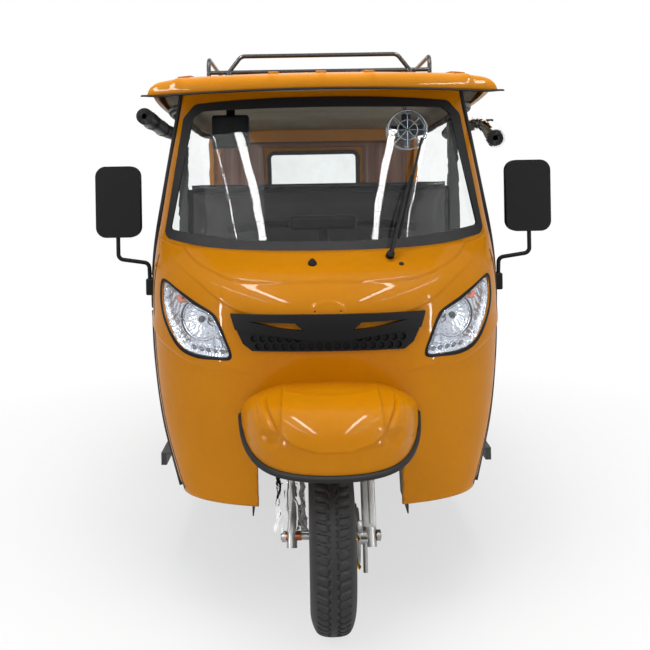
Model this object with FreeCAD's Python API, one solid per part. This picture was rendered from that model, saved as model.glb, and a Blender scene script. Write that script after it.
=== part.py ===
import FreeCAD
import Part
import math
import os

from FreeCAD import Vector

# Auto rickshaw, millimetres. Front is -Y, up is +Z, the ground is z = 0.

# driving sizes of the whole vehicle
overall_length = 3050.0
wheelbase = 2080.0
nose_to_front_axle = 360.0
body_half_width = 640.0
roof_top_z = 1757.0
rack_top_z = 1845.0
floor_z = 384.0
skin = 10.0
fit_gap = 0.3
piece_gap = 1.0
moving_gap = 6.0

nose_y = -overall_length / 2
tail_y = overall_length / 2
front_axle_y = nose_y + nose_to_front_axle
rear_axle_y = front_axle_y + wheelbase

# wheels
tyre_radius = 272.5
tyre_half_width = 65.0
bead_radius = 153.0
rim_half_width = 50.0
rear_track = 1060.0
wheel_z = tyre_radius
front_axle_radius = 10.0
rear_hub_radius = 38.0
rear_stub_radius = 18.0

# steering
rake = math.radians(22.0)
wheel_offset = 43.0
fork_half_span = 120.0
yoke_z = 655.0
stem_radius = 21.0
head_tube_bottom_z = 738.0
head_tube_top_z = 870.0
handlebar_z = 1205.0
handlebar_half_width = 330.0

# cowl stations: centre height, centre y, forward slope of the plane, half width, door edge y
door_edge_y = -815.0
cowl_bottom = (374.0, -1205.0, 0.0, 476.0, -992.0)
cowl_stations = [
    cowl_bottom,
    (560.0, -1216.0, 0.0, 543.0, -900.0),
    (753.0, -1232.0, 0.0, 579.0, -840.0),
    (905.0, -1245.0, 0.0, 590.0, door_edge_y),
    (985.0, -1238.0, 0.02, 591.0, door_edge_y),
    (1062.0, -1190.0, 0.10, 585.0, door_edge_y),
    (1132.0, -1065.0, 0.27, 572.0, door_edge_y),
]
screen_stations = [
    (1132.0, -1065.0, 0.27, 572.0, door_edge_y),
    (1300.0, -1007.0, 0.17, 547.0, door_edge_y),
    (1480.0, -945.0, 0.08, 517.0, door_edge_y),
    (1652.0, -885.0, 0.0, 486.0, door_edge_y),
    (1672.0, -878.0, 0.0, 483.0, door_edge_y),
]
cowl_fullness = 2.4

# front opening of the cowl, seen from the front
leg_inner_x = 220.0
arch_side_x = 238.0
arch_side_z = 640.0
arch_top_z = 700.0
arch_top_x = 150.0
liner_top_z = 732.0

# pressed bonnet panel under the windscreen, right half seen from the front
bonnet_raise = 5.0
bonnet_half = [
    (0.0, 1054.0),
    (240.0, 1054.0),
    (300.0, 1062.0),
    (360.0, 1084.0),
    (446.0, 1140.0),
    (446.0, 1180.0),
    (0.0, 1180.0),
]

# headlamp
lamp_rim = 13.0
lamp_lens_thickness = 3.0
lamp_bowl_depth = 62.0
lamp_wall = 3.0

# blank badge place above the grille
badge_seat_width = 56.0
badge_seat_z = 968.0
badge_seat_height = 36.0
badge_seat_raise = 2.0
badge_half_span = 39.0
badge_hole_z = 972.0
badge_hole_radius = 2.5

# windscreen outline seen from the front: outer edge of the black band
screen_bottom_z = 1131.0
screen_corner_low = (541.0, 1182.0)
screen_corner_high = (478.0, 1588.0)
screen_shoulder = (436.0, 1634.0)
screen_top_z = 1651.0
seal_width = 36.0
glass_thickness = 5.0

# mudguard
guard_half_width = 266.0
guard_thickness = 4.0
guard_top_z = 763.0
guard_lip_z = 575.0
guard_panel_half_width = 138.0
guard_panel_raise = 7.0
guard_scoop_x = 176.0
guard_scoop_z = 656.0
guard_scoop_depth = 11.0

# cabin
partition_top_z = 1345.0
post_x = 602.0
post_half = 22.0
roll_radius = 30.0
rear_inner_y = 1400.0
rear_outer_y = 1440.0
side_wall = 25.0
side_top_z = 1010.0
side_front_y = 470.0
arch_radius = 330.0
corner_radius = 95.0
roof_skin = 18.0
deck_z = 630.0
lid_top_z = 940.0
louvre_levels = (560.0, 590.0, 620.0, 650.0, 680.0)
hinge_x = 250.0
hinge_stand = 4.0
hinge_barrel_radius = 7.0
hinge_barrel_length = 30.0
hinge_lug_length = 12.0
hinge_pin_radius = 4.0
bench_back_y = 1030.0
bench_round = 30.0
bench_lean = math.radians(10.0)

# chassis and rear gear
rail_inner_x = 270.0
rail_outer_x = 330.0
rail_bottom_z = 318.0
arm_pivot_z = 345.0
cradle_y = 1345.0
drive_radius = 105.0
drive_y = rear_axle_y + 40.0


def box(x0, x1, y0, y1, z0, z1):
    return Part.makeBox(x1 - x0, y1 - y0, z1 - z0, Vector(x0, y0, z0))


def cyl(start, direction, radius, length):
    return Part.makeCylinder(radius, length, Vector(*start), Vector(*direction))


def ring(start, direction, outer, inner, length):
    return cyl(start, direction, outer, length).cut(cyl(start, direction, inner, length))


def mirrored(shape):
    return shape.mirror(Vector(0, 0, 0), Vector(1, 0, 0))


def polygon(points):
    return Part.makePolygon([Vector(*p) for p in points] + [Vector(*points[0])])


def prism_yz(points, x0, x1):
    face = Part.Face(polygon([(x0, y, z) for y, z in points]))
    return face.extrude(Vector(x1 - x0, 0, 0))


def prism_xz(points, y0, y1):
    face = Part.Face(polygon([(x, y0, z) for x, z in points]))
    return face.extrude(Vector(0, y1 - y0, 0))


def smooth_curve(points):
    curve = Part.BSplineCurve()
    curve.interpolate([Vector(*p) for p in points])
    return curve.toShape()


def rounded_path(points, bend):
    """Polyline in space with each inner corner turned into an arc."""
    corners = [Vector(*p) for p in points]
    edges = []
    start = corners[0]
    for before, corner, after in zip(corners, corners[1:], corners[2:]):
        into = (corner - before).normalize()
        out = (after - corner).normalize()
        angle = into.getAngle(out)
        reach = bend * math.tan(angle / 2)
        first = corner - into * reach
        last = corner + out * reach
        bisector = (out - into).normalize()
        middle = corner + bisector * (bend / math.cos(angle / 2) - bend)
        edges.append(Part.makeLine(start, first))
        edges.append(Part.Arc(first, middle, last).toShape())
        start = last
    edges.append(Part.makeLine(start, corners[-1]))
    return Part.Wire(edges)


def tube(points, radius, bend=0.0):
    """Round bar along a path."""
    if len(points) == 2:
        start = Vector(*points[0])
        run = Vector(*points[1]) - start
        return Part.makeCylinder(radius, run.Length, start, run)
    path = rounded_path(points, bend)
    start = Vector(*points[0])
    direction = Vector(*points[1]) - start
    section = Part.Wire(Part.makeCircle(radius, start, direction))
    return path.makePipeShell([section], True, False)


def swept(points, radius):
    """Round bar along a smooth curve."""
    path = Part.Wire(smooth_curve(points))
    start = Vector(*points[0])
    direction = path.Edges[0].tangentAt(path.Edges[0].FirstParameter)
    section = Part.Wire(Part.makeCircle(radius, start, direction))
    return path.makePipeShell([section], True, True)


def save(name, *shapes):
    solid = shapes[0] if len(shapes) == 1 else Part.makeCompound(list(shapes))
    solid.exportStep("parts/" + name + ".step")


# front shell
def station_points(station, inset, count=9):
    """Half outline of one station from the door edge to the middle, as a superellipse."""
    z_mid, y_mid, slope, half_width, y_edge = station
    width = half_width - inset
    depth = y_edge - (y_mid + inset)
    points = []
    for i in range(count):
        angle = math.pi / 2 * i / (count - 1)
        x = width * math.cos(angle) ** (2 / cowl_fullness)
        y = y_edge - depth * math.sin(angle) ** (2 / 2.1)
        points.append((x, y, z_mid + (y - y_mid) * slope))
    return points


def station_curve(station, inset):
    right = station_points(station, inset)
    left = [(-x, y, z) for x, y, z in right[:-1]]
    return smooth_curve(left + right[::-1])


def front_shell(stations, outer_inset, inner_inset):
    """Wrapped front sheet through the stations, between two insets."""
    wires = []
    for station in stations:
        outer = station_curve(station, outer_inset)
        inner = station_curve(station, inner_inset)
        outer_a, outer_b = outer.Vertexes[0].Point, outer.Vertexes[-1].Point
        inner_a, inner_b = inner.Vertexes[0].Point, inner.Vertexes[-1].Point
        wires.append(Part.Wire([
            outer,
            Part.makeLine(outer_b, inner_b),
            inner,
            Part.makeLine(inner_a, outer_a),
        ]))
    return Part.makeLoft(wires, True, False)


def front_cavity(stations, inset):
    """Space behind the wrapped front sheet, back to the door edges."""
    wires = []
    for station in stations:
        curve = station_curve(station, inset)
        wires.append(Part.Wire([curve, Part.makeLine(curve.Vertexes[-1].Point, curve.Vertexes[0].Point)]))
    return Part.makeLoft(wires, True, False)


def arch_opening():
    """Front wheel opening between the cowl's legs."""
    half = [
        (leg_inner_x, 300.0),
        (leg_inner_x, 560.0),
        (arch_side_x, arch_side_z),
        (arch_top_x, arch_top_z),
    ]
    outline = half + [(-x, z) for x, z in half[::-1]]
    return prism_xz(outline, -1400.0, -1100.0)


def screen_outline(grow):
    """Windscreen outline from the front, grown or shrunk by an even border."""
    low_x, low_z = screen_corner_low
    high_x, high_z = screen_corner_high
    shoulder_x, shoulder_z = screen_shoulder
    right = [
        Vector(0, 0, screen_bottom_z - grow),
        Vector(low_x * 0.55, 0, screen_bottom_z + 12.0 - grow),
        Vector(low_x + grow * 0.7, 0, low_z - grow * 0.7),
        Vector(high_x + grow, 0, high_z),
        Vector(shoulder_x + grow * 0.7, 0, shoulder_z + grow * 0.7),
        Vector(0, 0, screen_top_z + grow),
    ]
    left = [Vector(-p.x, 0, p.z) for p in right]
    edges = []
    for side in (right, left):
        edges.append(Part.Arc(side[0], side[1], side[2]).toShape())
        edges.append(Part.makeLine(side[2], side[3]))
        edges.append(Part.makeLine(side[3], side[4]))
    top = Part.Arc(right[4], right[5], left[4]).toShape()
    wire = Part.Wire([edges[0], edges[1], edges[2], top, edges[5], edges[4], edges[3]])
    face = Part.Face(wire)
    solid = face.extrude(Vector(0, 500, 0))
    solid.translate(Vector(0, -1200, 0))
    uprights = [
        e for e in solid.Edges
        if len(e.Vertexes) == 2
        and abs(e.Vertexes[0].X - e.Vertexes[1].X) < 0.01
        and abs(e.Vertexes[0].Z - e.Vertexes[1].Z) < 0.01
        and abs(e.Vertexes[0].X) > 100
    ]
    return solid.makeFillet(28.0 + grow * 0.5, uprights)


def half_outline_prism(half, y0=-1300.0, y1=-900.0):
    """Prism along Y from the right half of an outline that meets the middle at both ends."""
    return prism_xz(half + [(-x, z) for x, z in half[::-1] if x > 0], y0, y1)


def bonnet_panel():
    """Pressed panel under the windscreen, proud of the rest of the cowl."""
    return front_shell(cowl_stations, -bonnet_raise, skin / 2).common(half_outline_prism(bonnet_half))


def badge_seat():
    """Flat-topped half disc above the grille where a badge is screwed on."""
    half = []
    for k in range(9):
        angle = math.pi / 2 * k / 8
        across = badge_seat_width * math.cos(angle)
        half.append((across, badge_seat_z + badge_seat_height * math.sin(angle)))
    seat = half_outline_prism([(0.0, badge_seat_z)] + half)
    return front_shell(cowl_stations, -badge_seat_raise, skin / 2).common(seat)


def front_cowl():
    """Wrapped front sheet with the wheel opening, lamp openings, bonnet panel and badge seat."""
    shell = front_shell(cowl_stations, 0.0, skin).cut(arch_opening())
    window = closed_prism([shrunk(p, lamp_rim) for p in lamp_outline], -1300.0, -900.0)
    shell = shell.cut(window).cut(mirrored(window)).multiFuse([bonnet_panel(), badge_seat()])
    holes = [cyl((side * badge_half_span, -1300, badge_hole_z), (0, 1, 0), badge_hole_radius, 120)
             for side in (-1, 1)]
    return shell.cut(Part.makeCompound(holes))


def windscreen_surround():
    return front_shell(screen_stations, 0.0, skin * 3.4).cut(screen_outline(0.0))


def window_glasses():
    band = front_shell(screen_stations, 12.0, 12.0 + glass_thickness)
    windscreen = band.common(screen_outline(-seal_width * 0.6))
    rear = rear_window_prism(-12.0, rear_inner_y + 16.0, rear_inner_y + 21.0)
    return windscreen, rear


def window_seals():
    band = front_shell(screen_stations, -3.0, 24.0)
    ring_shape = screen_outline(-fit_gap).cut(screen_outline(-seal_width))
    slot = front_shell(screen_stations, 12.0 - fit_gap, 12.0 + glass_thickness + fit_gap)
    seal = band.common(ring_shape).cut(slot.common(screen_outline(-seal_width * 0.6 + fit_gap)))
    rear_outer = rear_window_prism(-fit_gap, rear_inner_y - 4.0, rear_outer_y + 4.0)
    rear_inner = rear_window_prism(-24.0, rear_inner_y - 10.0, rear_outer_y + 10.0)
    rear_slot = rear_window_prism(-12.0 + fit_gap, rear_inner_y + 15.7, rear_inner_y + 21.3)
    return seal, rear_outer.cut(rear_inner).cut(rear_slot)


def door_edge_path(lift, outset):
    """Places along the cowl's door edge, a step behind it."""
    path = []
    for station in cowl_stations + screen_stations[1:]:
        z_mid, y_mid, slope, half_width, y_edge = station
        path.append((half_width + outset, y_edge + lift, z_mid + (y_edge - y_mid) * slope))
    return path


def rubber_edging():
    radius = 9.0
    right = swept(door_edge_path(radius + piece_gap, 0.0), radius)
    right = right.cut(front_shell(cowl_stations, -2.0, skin + 2.0))
    right = right.cut(front_shell(screen_stations, -2.0, skin * 3.4))
    lip = [guard_point(i / 12.0 * 2.0 - 1.0, 0.0) for i in range(13)]
    lip = [(x, y, z - 5.0 - piece_gap) for x, y, z in lip]
    trim = swept(lip, 5.0).cut(front_cavity(cowl_stations, -fit_gap))
    return right, mirrored(right), trim


# mudguard
guard_lip = [
    (0.0, -1511.0, guard_lip_z),
    (80.0, -1502.0, guard_lip_z + 1.0),
    (160.0, -1462.0, guard_lip_z + 5.0),
    (214.0, -1395.0, guard_lip_z + 18.0),
    (248.0, -1310.0, guard_lip_z + 45.0),
    (guard_half_width, -1196.0, guard_lip_z + 84.0),
]
guard_joint = [
    (0.0, -1222.0, guard_top_z),
    (80.0, -1222.0, guard_top_z - 3.0),
    (150.0, -1219.0, guard_top_z - 10.0),
    (206.0, -1215.0, guard_top_z - 30.0),
    (246.0, -1208.0, guard_top_z - 58.0),
    (guard_half_width - 2.0, -1196.0, guard_top_z - 88.0),
]
guard_profile = [
    (1.0, 0.0),
    (1.03, 0.14),
    (1.05, 0.34),
    (0.99, 0.59),
    (0.82, 0.79),
    (0.55, 0.91),
    (0.27, 0.97),
    (0.0, 1.0),
]


def between(table, t):
    """Smooth value along a short list of points, t from 0 to 1."""
    curve = Part.BSplineCurve()
    curve.interpolate([Vector(*p) for p in table])
    first, last = curve.FirstParameter, curve.LastParameter
    return curve.value(first + (last - first) * t)


def guard_point(u, v):
    """Point of the mudguard's outer face; u runs across, v from the lip to the cowl."""
    side = 1.0 if u >= 0 else -1.0
    low = between(guard_lip, abs(u))
    high = between(guard_joint, abs(u))
    profile = between([(h, g, 0.0) for h, g in guard_profile], v)
    x = high.x + (low.x - high.x) * profile.x
    y = high.y + (low.y - high.y) * profile.x
    z = low.z + (high.z - low.z) * profile.y
    return side * x, y, z


def guard_relief(x, z):
    """Raised middle panel and the two scoops beside it."""
    rise = 1.0 / (1.0 + math.exp((abs(x) - guard_panel_half_width) / 4.0))
    band = 1.0 / (1.0 + math.exp((z - 742.0) / 4.0)) / (1.0 + math.exp((655.0 - z) / 4.0))
    across = (abs(x) - guard_scoop_x) / 26.0
    upward = (z - guard_scoop_z) / 30.0
    return guard_panel_raise * rise * band - guard_scoop_depth * math.exp(-across ** 2 - upward ** 2)


def guard_grid(inset):
    rows = []
    columns = 33
    lines = 17
    for j in range(lines):
        row = []
        for i in range(columns):
            u = i / (columns - 1.0) * 2.0 - 1.0
            v = j / (lines - 1.0)
            here = Vector(*guard_point(u, v))
            left, right = guard_point(max(u - 0.01, -1.0), v), guard_point(min(u + 0.01, 1.0), v)
            low, high = guard_point(u, max(v - 0.01, 0.0)), guard_point(u, min(v + 0.01, 1.0))
            across = Vector(*right) - Vector(*left)
            along = Vector(*high) - Vector(*low)
            normal = across.cross(along).normalize()
            row.append(here + normal * (guard_relief(here.x, here.z) - inset))
        rows.append(row)
    return rows


def grid_solid(outer, inner):
    """Closed solid between two grids of points."""
    faces = []
    surfaces = []
    for grid in (outer, inner):
        surface = Part.BSplineSurface()
        surface.interpolate(grid)
        surfaces.append(surface)
        faces.append(surface.toShape())
    for kind, at_end in (("u", False), ("u", True), ("v", False), ("v", True)):
        pair = []
        for surface in surfaces:
            u0, u1, v0, v1 = surface.bounds()
            if kind == "u":
                pair.append(surface.uIso(u1 if at_end else u0).toShape())
            else:
                pair.append(surface.vIso(v1 if at_end else v0).toShape())
        faces.append(Part.makeRuledSurface(pair[0], pair[1]))
    shell = Part.makeShell(faces)
    shell.sewShape(0.05)
    solid = Part.makeSolid(Part.Shell(shell.Faces))
    if solid.Volume < 0:
        solid.reverse()
    return solid


def front_mudguard():
    shell = grid_solid(guard_grid(0.0), guard_grid(guard_thickness))
    return shell.cut(front_cavity(cowl_stations, -fit_gap))


def wheel_arch_liner():
    """Black tub over and behind the front wheel."""
    outer = [
        (-1260.0, liner_top_z),
        (-940.0, liner_top_z),
        (-880.0, 674.0),
        (-862.0, 386.0),
        (-862.0, 340.0),
        (-1260.0, 340.0),
    ]
    inner = [
        (-1270.0, liner_top_z - 4.0),
        (-942.0, liner_top_z - 4.0),
        (-884.0, 672.0),
        (-866.0, 386.0),
        (-866.0, 339.0),
        (-1270.0, 339.0),
    ]
    half = arch_side_x + 1.0
    shell = prism_yz(outer, -half, half)
    hollow = prism_yz(inner, -half + 4.0, half - 4.0)
    deeper_stations = [(330.0,) + cowl_bottom[1:]] + cowl_stations[1:]
    shell = shell.common(front_cavity(deeper_stations, skin + 4 * piece_gap))
    stem_y = steering_y(arch_top_z)
    hole = cyl((0, stem_y - 250 * math.sin(rake), arch_top_z - 250 * math.cos(rake)),
               (0, math.sin(rake), math.cos(rake)), 40.0, 500.0)
    return shell.cut(hollow).cut(hole)


# front fittings
grille_half = [(294.0, 966.0), (276.0, 921.0), (256.0, 878.0), (228.0, 857.0)]
wing_half = [(0.0, 888.0), (50.0, 889.0), (279.0, 920.0), (294.0, 966.0), (0.0, 966.0)]
slit_outline = [(240.0, 946.0), (98.0, 941.0), (74.0, 919.0), (142.0, 926.0)]
lamp_outline = [
    (549.0, 1062.0),
    (480.0, 1018.0),
    (400.0, 966.0),
    (345.0, 945.0),
    (322.0, 905.0),
    (290.0, 838.0),
    (345.0, 826.0),
    (402.0, 822.0),
    (455.0, 832.0),
    (500.0, 856.0),
    (530.0, 895.0),
    (548.0, 945.0),
    (556.0, 1000.0),
]


def closed_prism(points, y0, y1):
    """Prism along Y from a smooth closed outline."""
    curve = Part.BSplineCurve()
    curve.interpolate([Vector(x, y0, z) for x, z in points], PeriodicFlag=True)
    return Part.Face(Part.Wire(curve.toShape())).extrude(Vector(0, y1 - y0, 0))


def grille_prism(half, shrink=0.0):
    right = [(x - shrink, z + (shrink if z < 900 else -shrink)) for x, z in half]
    return prism_xz(right + [(-x, z) for x, z in right[::-1]], -1300.0, -1100.0)


def hexagon(x, z, radius):
    corners = [(x + radius * math.cos(math.radians(60 * k + 30)),
                z + radius * math.sin(math.radians(60 * k + 30))) for k in range(6)]
    return prism_xz(corners, -1300.0, -1100.0)


def grille():
    """Honeycomb plate under a wing-shaped bar with two slits."""
    plate = front_shell(cowl_stations, -12.0, -fit_gap).common(grille_prism(grille_half))
    pitch = 26.0
    cells = []
    for row in range(3):
        z = 872.0 + row * pitch * 0.866
        shift = pitch / 2 if row % 2 else 0.0
        for k in range(-9, 10):
            x = k * pitch + shift
            bar_z = 889.0 + max(abs(x) - 50.0, 0.0) * 31.0 / 229.0
            if abs(x) < 214.0 + row * 14.0 and z < bar_z + 2.0:
                cells.append(hexagon(x, z, 12.0))
    pockets = front_shell(cowl_stations, -14.0, -4.0).common(Part.makeCompound(cells))
    slit = prism_xz(slit_outline, -1300.0, -1100.0)
    slits = Part.makeCompound([slit, mirrored(slit)])
    wing = front_shell(cowl_stations, -18.0, -2.0).common(half_outline_prism(wing_half)).cut(slits)
    return plate.cut(slits).fuse(wing).cut(pockets)


def headlamp_housings():
    """Black rim on the cowl with a bowl let into the lamp opening."""
    body = closed_prism(lamp_outline, -1300.0, -900.0)
    plug = closed_prism([shrunk(p, lamp_rim + fit_gap) for p in lamp_outline], -1300.0, -900.0)
    hollow_outline = [shrunk(p, lamp_rim + fit_gap + lamp_wall) for p in lamp_outline]
    hollow = closed_prism(hollow_outline, -1300.0, -900.0)
    side = box(0, 700, -1300, -930, 700, 1200)
    rim = front_shell(cowl_stations, -7.0, -fit_gap).common(body.common(side))
    bowl = front_shell(cowl_stations, -5.0, lamp_bowl_depth).common(plug.common(side))
    inside = front_shell(cowl_stations, -20.0, lamp_bowl_depth - lamp_wall).common(hollow)
    right = rim.fuse(bowl).cut(inside)
    return right, mirrored(right)


def shrunk(point, amount):
    middle = (440.0, 930.0)
    dx = point[0] - middle[0]
    dz = point[1] - middle[1]
    length = math.hypot(dx, dz)
    scale = (length - amount) / length
    return middle[0] + dx * scale, middle[1] + dz * scale


def headlamp_lenses():
    """Clear cover that closes each bowl, a step inside the rim."""
    window_outline = [shrunk(p, lamp_rim + 2 * fit_gap + lamp_wall) for p in lamp_outline]
    window = closed_prism(window_outline, -1300.0, -900.0)
    right = front_shell(cowl_stations, -6.0, -6.0 + lamp_lens_thickness).common(window)
    return right, mirrored(right)


def sun_visor():
    """Thin black peak above the windscreen."""
    front = smooth_curve([(-602, -925, 1653), (-430, -985, 1660), (0, -1045, 1669), (430, -985, 1660),
                          (602, -925, 1653)])
    back = smooth_curve([(-602, -860, 1650), (-470, -880, 1662), (0, -925, 1688), (470, -880, 1662),
                         (602, -860, 1650)])
    plate = Part.makeRuledSurface(front, back)
    peak = plate.extrude(Vector(0, 0, 4.0))
    feet = ((-330, 1666), (0, 1684), (330, 1666))
    brackets = [box(x - 20, x + 20, -945, -892, foot_z, 1740) for x, foot_z in feet]
    under = roof_underside(roof_skin + fit_gap)
    return peak.multiFuse([bracket.common(under) for bracket in brackets])


# roof
roof_edge_z = 1664.0
roof_stations = [
    (-960.0, 566.0, roof_edge_z, 1718.0),
    (-650.0, 604.0, roof_edge_z, roof_top_z),
    (-100.0, body_half_width, roof_edge_z, roof_top_z),
    (600.0, body_half_width + 12.0, roof_edge_z, roof_top_z),
    (1150.0, body_half_width + 14.0, roof_edge_z, roof_top_z - 8.0),
    (rear_outer_y + 8.0, body_half_width + 6.0, roof_edge_z, 1724.0),
]
roof_beads = (-470.0, -164.0, 0.0, 164.0, 470.0)
bead_height = 6.0
roof_profile = [(1.0, 0.0), (0.985, 0.42), (0.92, 0.70), (0.72, 0.89), (0.40, 0.97), (0.0, 1.0)]


def roof_curve(station, drop):
    y, width, edge_z, crown_z = station
    right = []
    for across, up in roof_profile:
        x = (width - drop * 0.9) * across
        z = edge_z + (crown_z - drop - edge_z) * up
        right.append((x, y, z))
    left = [(-x, yy, z) for x, yy, z in right[:-1]]
    return smooth_curve(left + right[::-1])


def roof_body(drop_outer, drop_inner):
    wires = []
    for station in roof_stations:
        outer = roof_curve(station, drop_outer)
        inner = roof_curve(station, drop_inner)
        wires.append(Part.Wire([
            outer,
            Part.makeLine(outer.Vertexes[-1].Point, inner.Vertexes[-1].Point),
            inner,
            Part.makeLine(inner.Vertexes[0].Point, outer.Vertexes[0].Point),
        ]))
    return Part.makeLoft(wires, True, False)


def roof_shell():
    """Moulded roof with pressed beads along it."""
    beads = [box(x - 17, x + 17, -900, 1380, roof_edge_z, 1800) for x in roof_beads]
    raised = roof_body(-bead_height, roof_skin / 2)
    return roof_body(0.0, roof_skin).multiFuse([raised.common(bead) for bead in beads])


def roof_underside(drop):
    """Space below the roof's sheet, down to the level of its edge."""
    wires = []
    for station in roof_stations:
        curve = roof_curve(station, drop)
        wires.append(Part.Wire([curve, Part.makeLine(curve.Vertexes[-1].Point, curve.Vertexes[0].Point)]))
    return Part.makeLoft(wires, True, False)


def roof_rack():
    radius = 8.0
    rail_x = 415.0
    skid_x = 340.0
    bar_z = 1777.0
    front_y, back_y = -600.0, 640.0
    top_z = rack_top_z - radius
    front = tube([(-skid_x, front_y, bar_z), (-293, front_y, top_z), (293, front_y, top_z),
                  (skid_x, front_y, bar_z)], radius, 30)
    rear = front.copy()
    rear.translate(Vector(0, back_y - front_y, 0))
    side = tube([(rail_x, front_y, 1735), (rail_x, front_y, top_z - 8), (rail_x, back_y, top_z - 8),
                 (rail_x, back_y, 1735)], radius, 30)
    cross = [tube([(-rail_x, y, bar_z), (rail_x, y, bar_z)], radius) for y in (front_y, 20.0, back_y)]
    skids = [tube([(x, front_y, bar_z), (x, back_y, bar_z)], radius) for x in (-skid_x, skid_x)]
    foot_places = [(x, y) for x in (-skid_x, skid_x) for y in (front_y, 20.0, back_y)]
    feet = [cyl((x, y, 1735), (0, 0, 1), 13.0, 40.0) for x, y in foot_places]
    frame = front.multiFuse([rear, side, mirrored(side)] + cross + skids + feet)
    return frame.cut(roof_underside(0.0))


def curtain_rolls():
    """Rolled side curtains, strapped against the outside of the posts."""
    right_x = post_x + post_half + roll_radius + fit_gap
    left_x = -right_x
    right = swept([(600, -850, 1500), (618, -700, 1540), (643, -450, 1578), (right_x, -160, 1588),
                   (right_x, -42, 1590), (right_x, 120, 1591), (right_x + 2, 400, 1592)], roll_radius)
    left = swept([(-612, -850, 1596), (-638, -450, 1594), (left_x, -160, 1592),
                  (left_x, -42, 1592), (left_x, 120, 1592), (left_x - 2, 400, 1592)], roll_radius)
    return left, right


def body_posts():
    """Side posts up to the roof, and the rails under its edge from windscreen to rear wall."""
    post_outer = post_x + post_half
    post = box(post_x - post_half, post_outer, -64, -20, floor_z, roof_edge_z)
    head = box(post_x - post_half, post_outer, -64, -20, roof_edge_z - 4, roof_top_z)
    head = head.common(roof_underside(roof_skin + fit_gap))
    rail = swept([(446, -799, 1634), (525, -690, 1634), (570, -450, 1634), (592, 200, 1634),
                  (580, 1150, 1634), (524, rear_inner_y, 1634)], 15.0)
    front_plate = box(436, 470, door_edge_y + fit_gap, -786, 1612, 1656)
    rear_plate = box(500, 542, 1390, rear_inner_y + 15 - fit_gap, 1612, 1656)
    right = post.multiFuse([head, rail, front_plate, rear_plate])
    return right, mirrored(right)


def meter_box():
    """Box hung from the roof behind the windscreen's upper corner."""
    case = box(-385, -255, -806, -744, 1484, 1600)
    case = case.makeFillet(10.0, case.Edges)
    hanger = box(-335, -305, -778, -772, 1590, 1735)
    below_roof = roof_underside(roof_skin + fit_gap).fuse(box(-400, 400, -900, -700, 1400, 1672))
    return case.fuse(hanger).common(below_roof)


# mirrors, wiper
def mirror_pair():
    """Mirror housing, stalk and the clamp on the cowl's side, both sides."""
    shell = box(626, 778, -880, -846, 1180, 1424)
    corners = [e for e in shell.Edges if abs(e.Vertexes[0].Y - e.Vertexes[1].Y) > 30]
    shell = shell.makeFillet(36.0, corners)
    recess = box(634, 770, -852, -846, 1188, 1416)
    corners = [e for e in recess.Edges if abs(e.Vertexes[0].Y - e.Vertexes[1].Y) > 3]
    recess = recess.makeFillet(28.0, corners)
    stalk = tube([(706, -864, 1185), (706, -864, 1106), (606, -838, 1088), (604, -838, 1030)], 7.0, 20)
    clamp = box(582, 616, -856, -822, 978, 1036)
    clamp = clamp.makeFillet(6.0, clamp.Edges).cut(front_cavity(cowl_stations, -fit_gap))
    right = shell.cut(recess).multiFuse([stalk, clamp])
    return right, mirrored(right)


def mirror_glasses():
    plate = box(636, 768, -851.5, -848, 1190, 1414)
    plate = plate.makeFillet(26.0, [e for e in plate.Edges if abs(e.Vertexes[0].Y - e.Vertexes[1].Y) > 2])
    return plate, mirrored(plate)


def wiper():
    pivot = cyl((200, -1100, 1120), (0.1, -0.85, 0.5), 13.0, 42.0)
    arm = tube([(203, -1122, 1133), (285, -1010, 1375)], 5.0)
    blade = tube([(232, -1086, 1178), (330, -952, 1500)], 6.0)
    return pivot.multiFuse([arm, blade]).cut(front_shell(cowl_stations, -bonnet_raise - fit_gap, skin))


# steering
def steering_y(z):
    return front_axle_y + wheel_offset + (z - wheel_z) * math.tan(rake)


def leg_y(z):
    return front_axle_y + (z - wheel_z) * math.tan(rake)


def along_steering(z, x=0.0):
    return x, steering_y(z), z


def fork():
    legs = []
    for side, radius in ((-1, 16.0), (1, 20.0)):
        x = side * fork_half_span
        foot_z, head_z = wheel_z - 30, yoke_z + 12
        legs.append(tube([(x, leg_y(foot_z), foot_z), (x, leg_y(head_z), head_z)], radius))
    front_y, back_y = leg_y(yoke_z) - 28, steering_y(yoke_z) + 34
    side_y = leg_y(yoke_z) + 20
    plan = [(-142, front_y), (142, front_y), (142, side_y), (44, back_y), (-44, back_y), (-142, side_y)]
    yoke = Part.Face(polygon([(x, y, yoke_z - 16) for x, y in plan])).extrude(Vector(0, 0, 30))
    yoke.rotate(Vector(0, steering_y(yoke_z), yoke_z), Vector(1, 0, 0), -math.degrees(rake))
    stem = tube([along_steering(yoke_z - 10), along_steering(handlebar_z - 15)], stem_radius)
    axle_start = (-fork_half_span - 34, front_axle_y, wheel_z)
    axle = cyl(axle_start, (1, 0, 0), front_axle_radius, 2 * fork_half_span + 68)
    nut_places = (-fork_half_span - 30, fork_half_span + 20)
    nuts = [cyl((x, front_axle_y, wheel_z), (1, 0, 0), 16.0, 12.0) for x in nut_places]
    brake = cyl((78, front_axle_y, wheel_z), (1, 0, 0), 80.0, 8.0)
    boss = cyl((78, front_axle_y, wheel_z), (1, 0, 0), 26.0, 30.0)
    arm = tube([(100, front_axle_y - 60, wheel_z + 10), (100, front_axle_y - 70, wheel_z - 80)], 7.0)
    pivot = cyl((80, front_axle_y - 60, wheel_z + 10), (1, 0, 0), 9.0, 28.0)
    return legs[0].multiFuse([legs[1], yoke, stem, axle, brake, boss, arm, pivot] + nuts)


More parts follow.
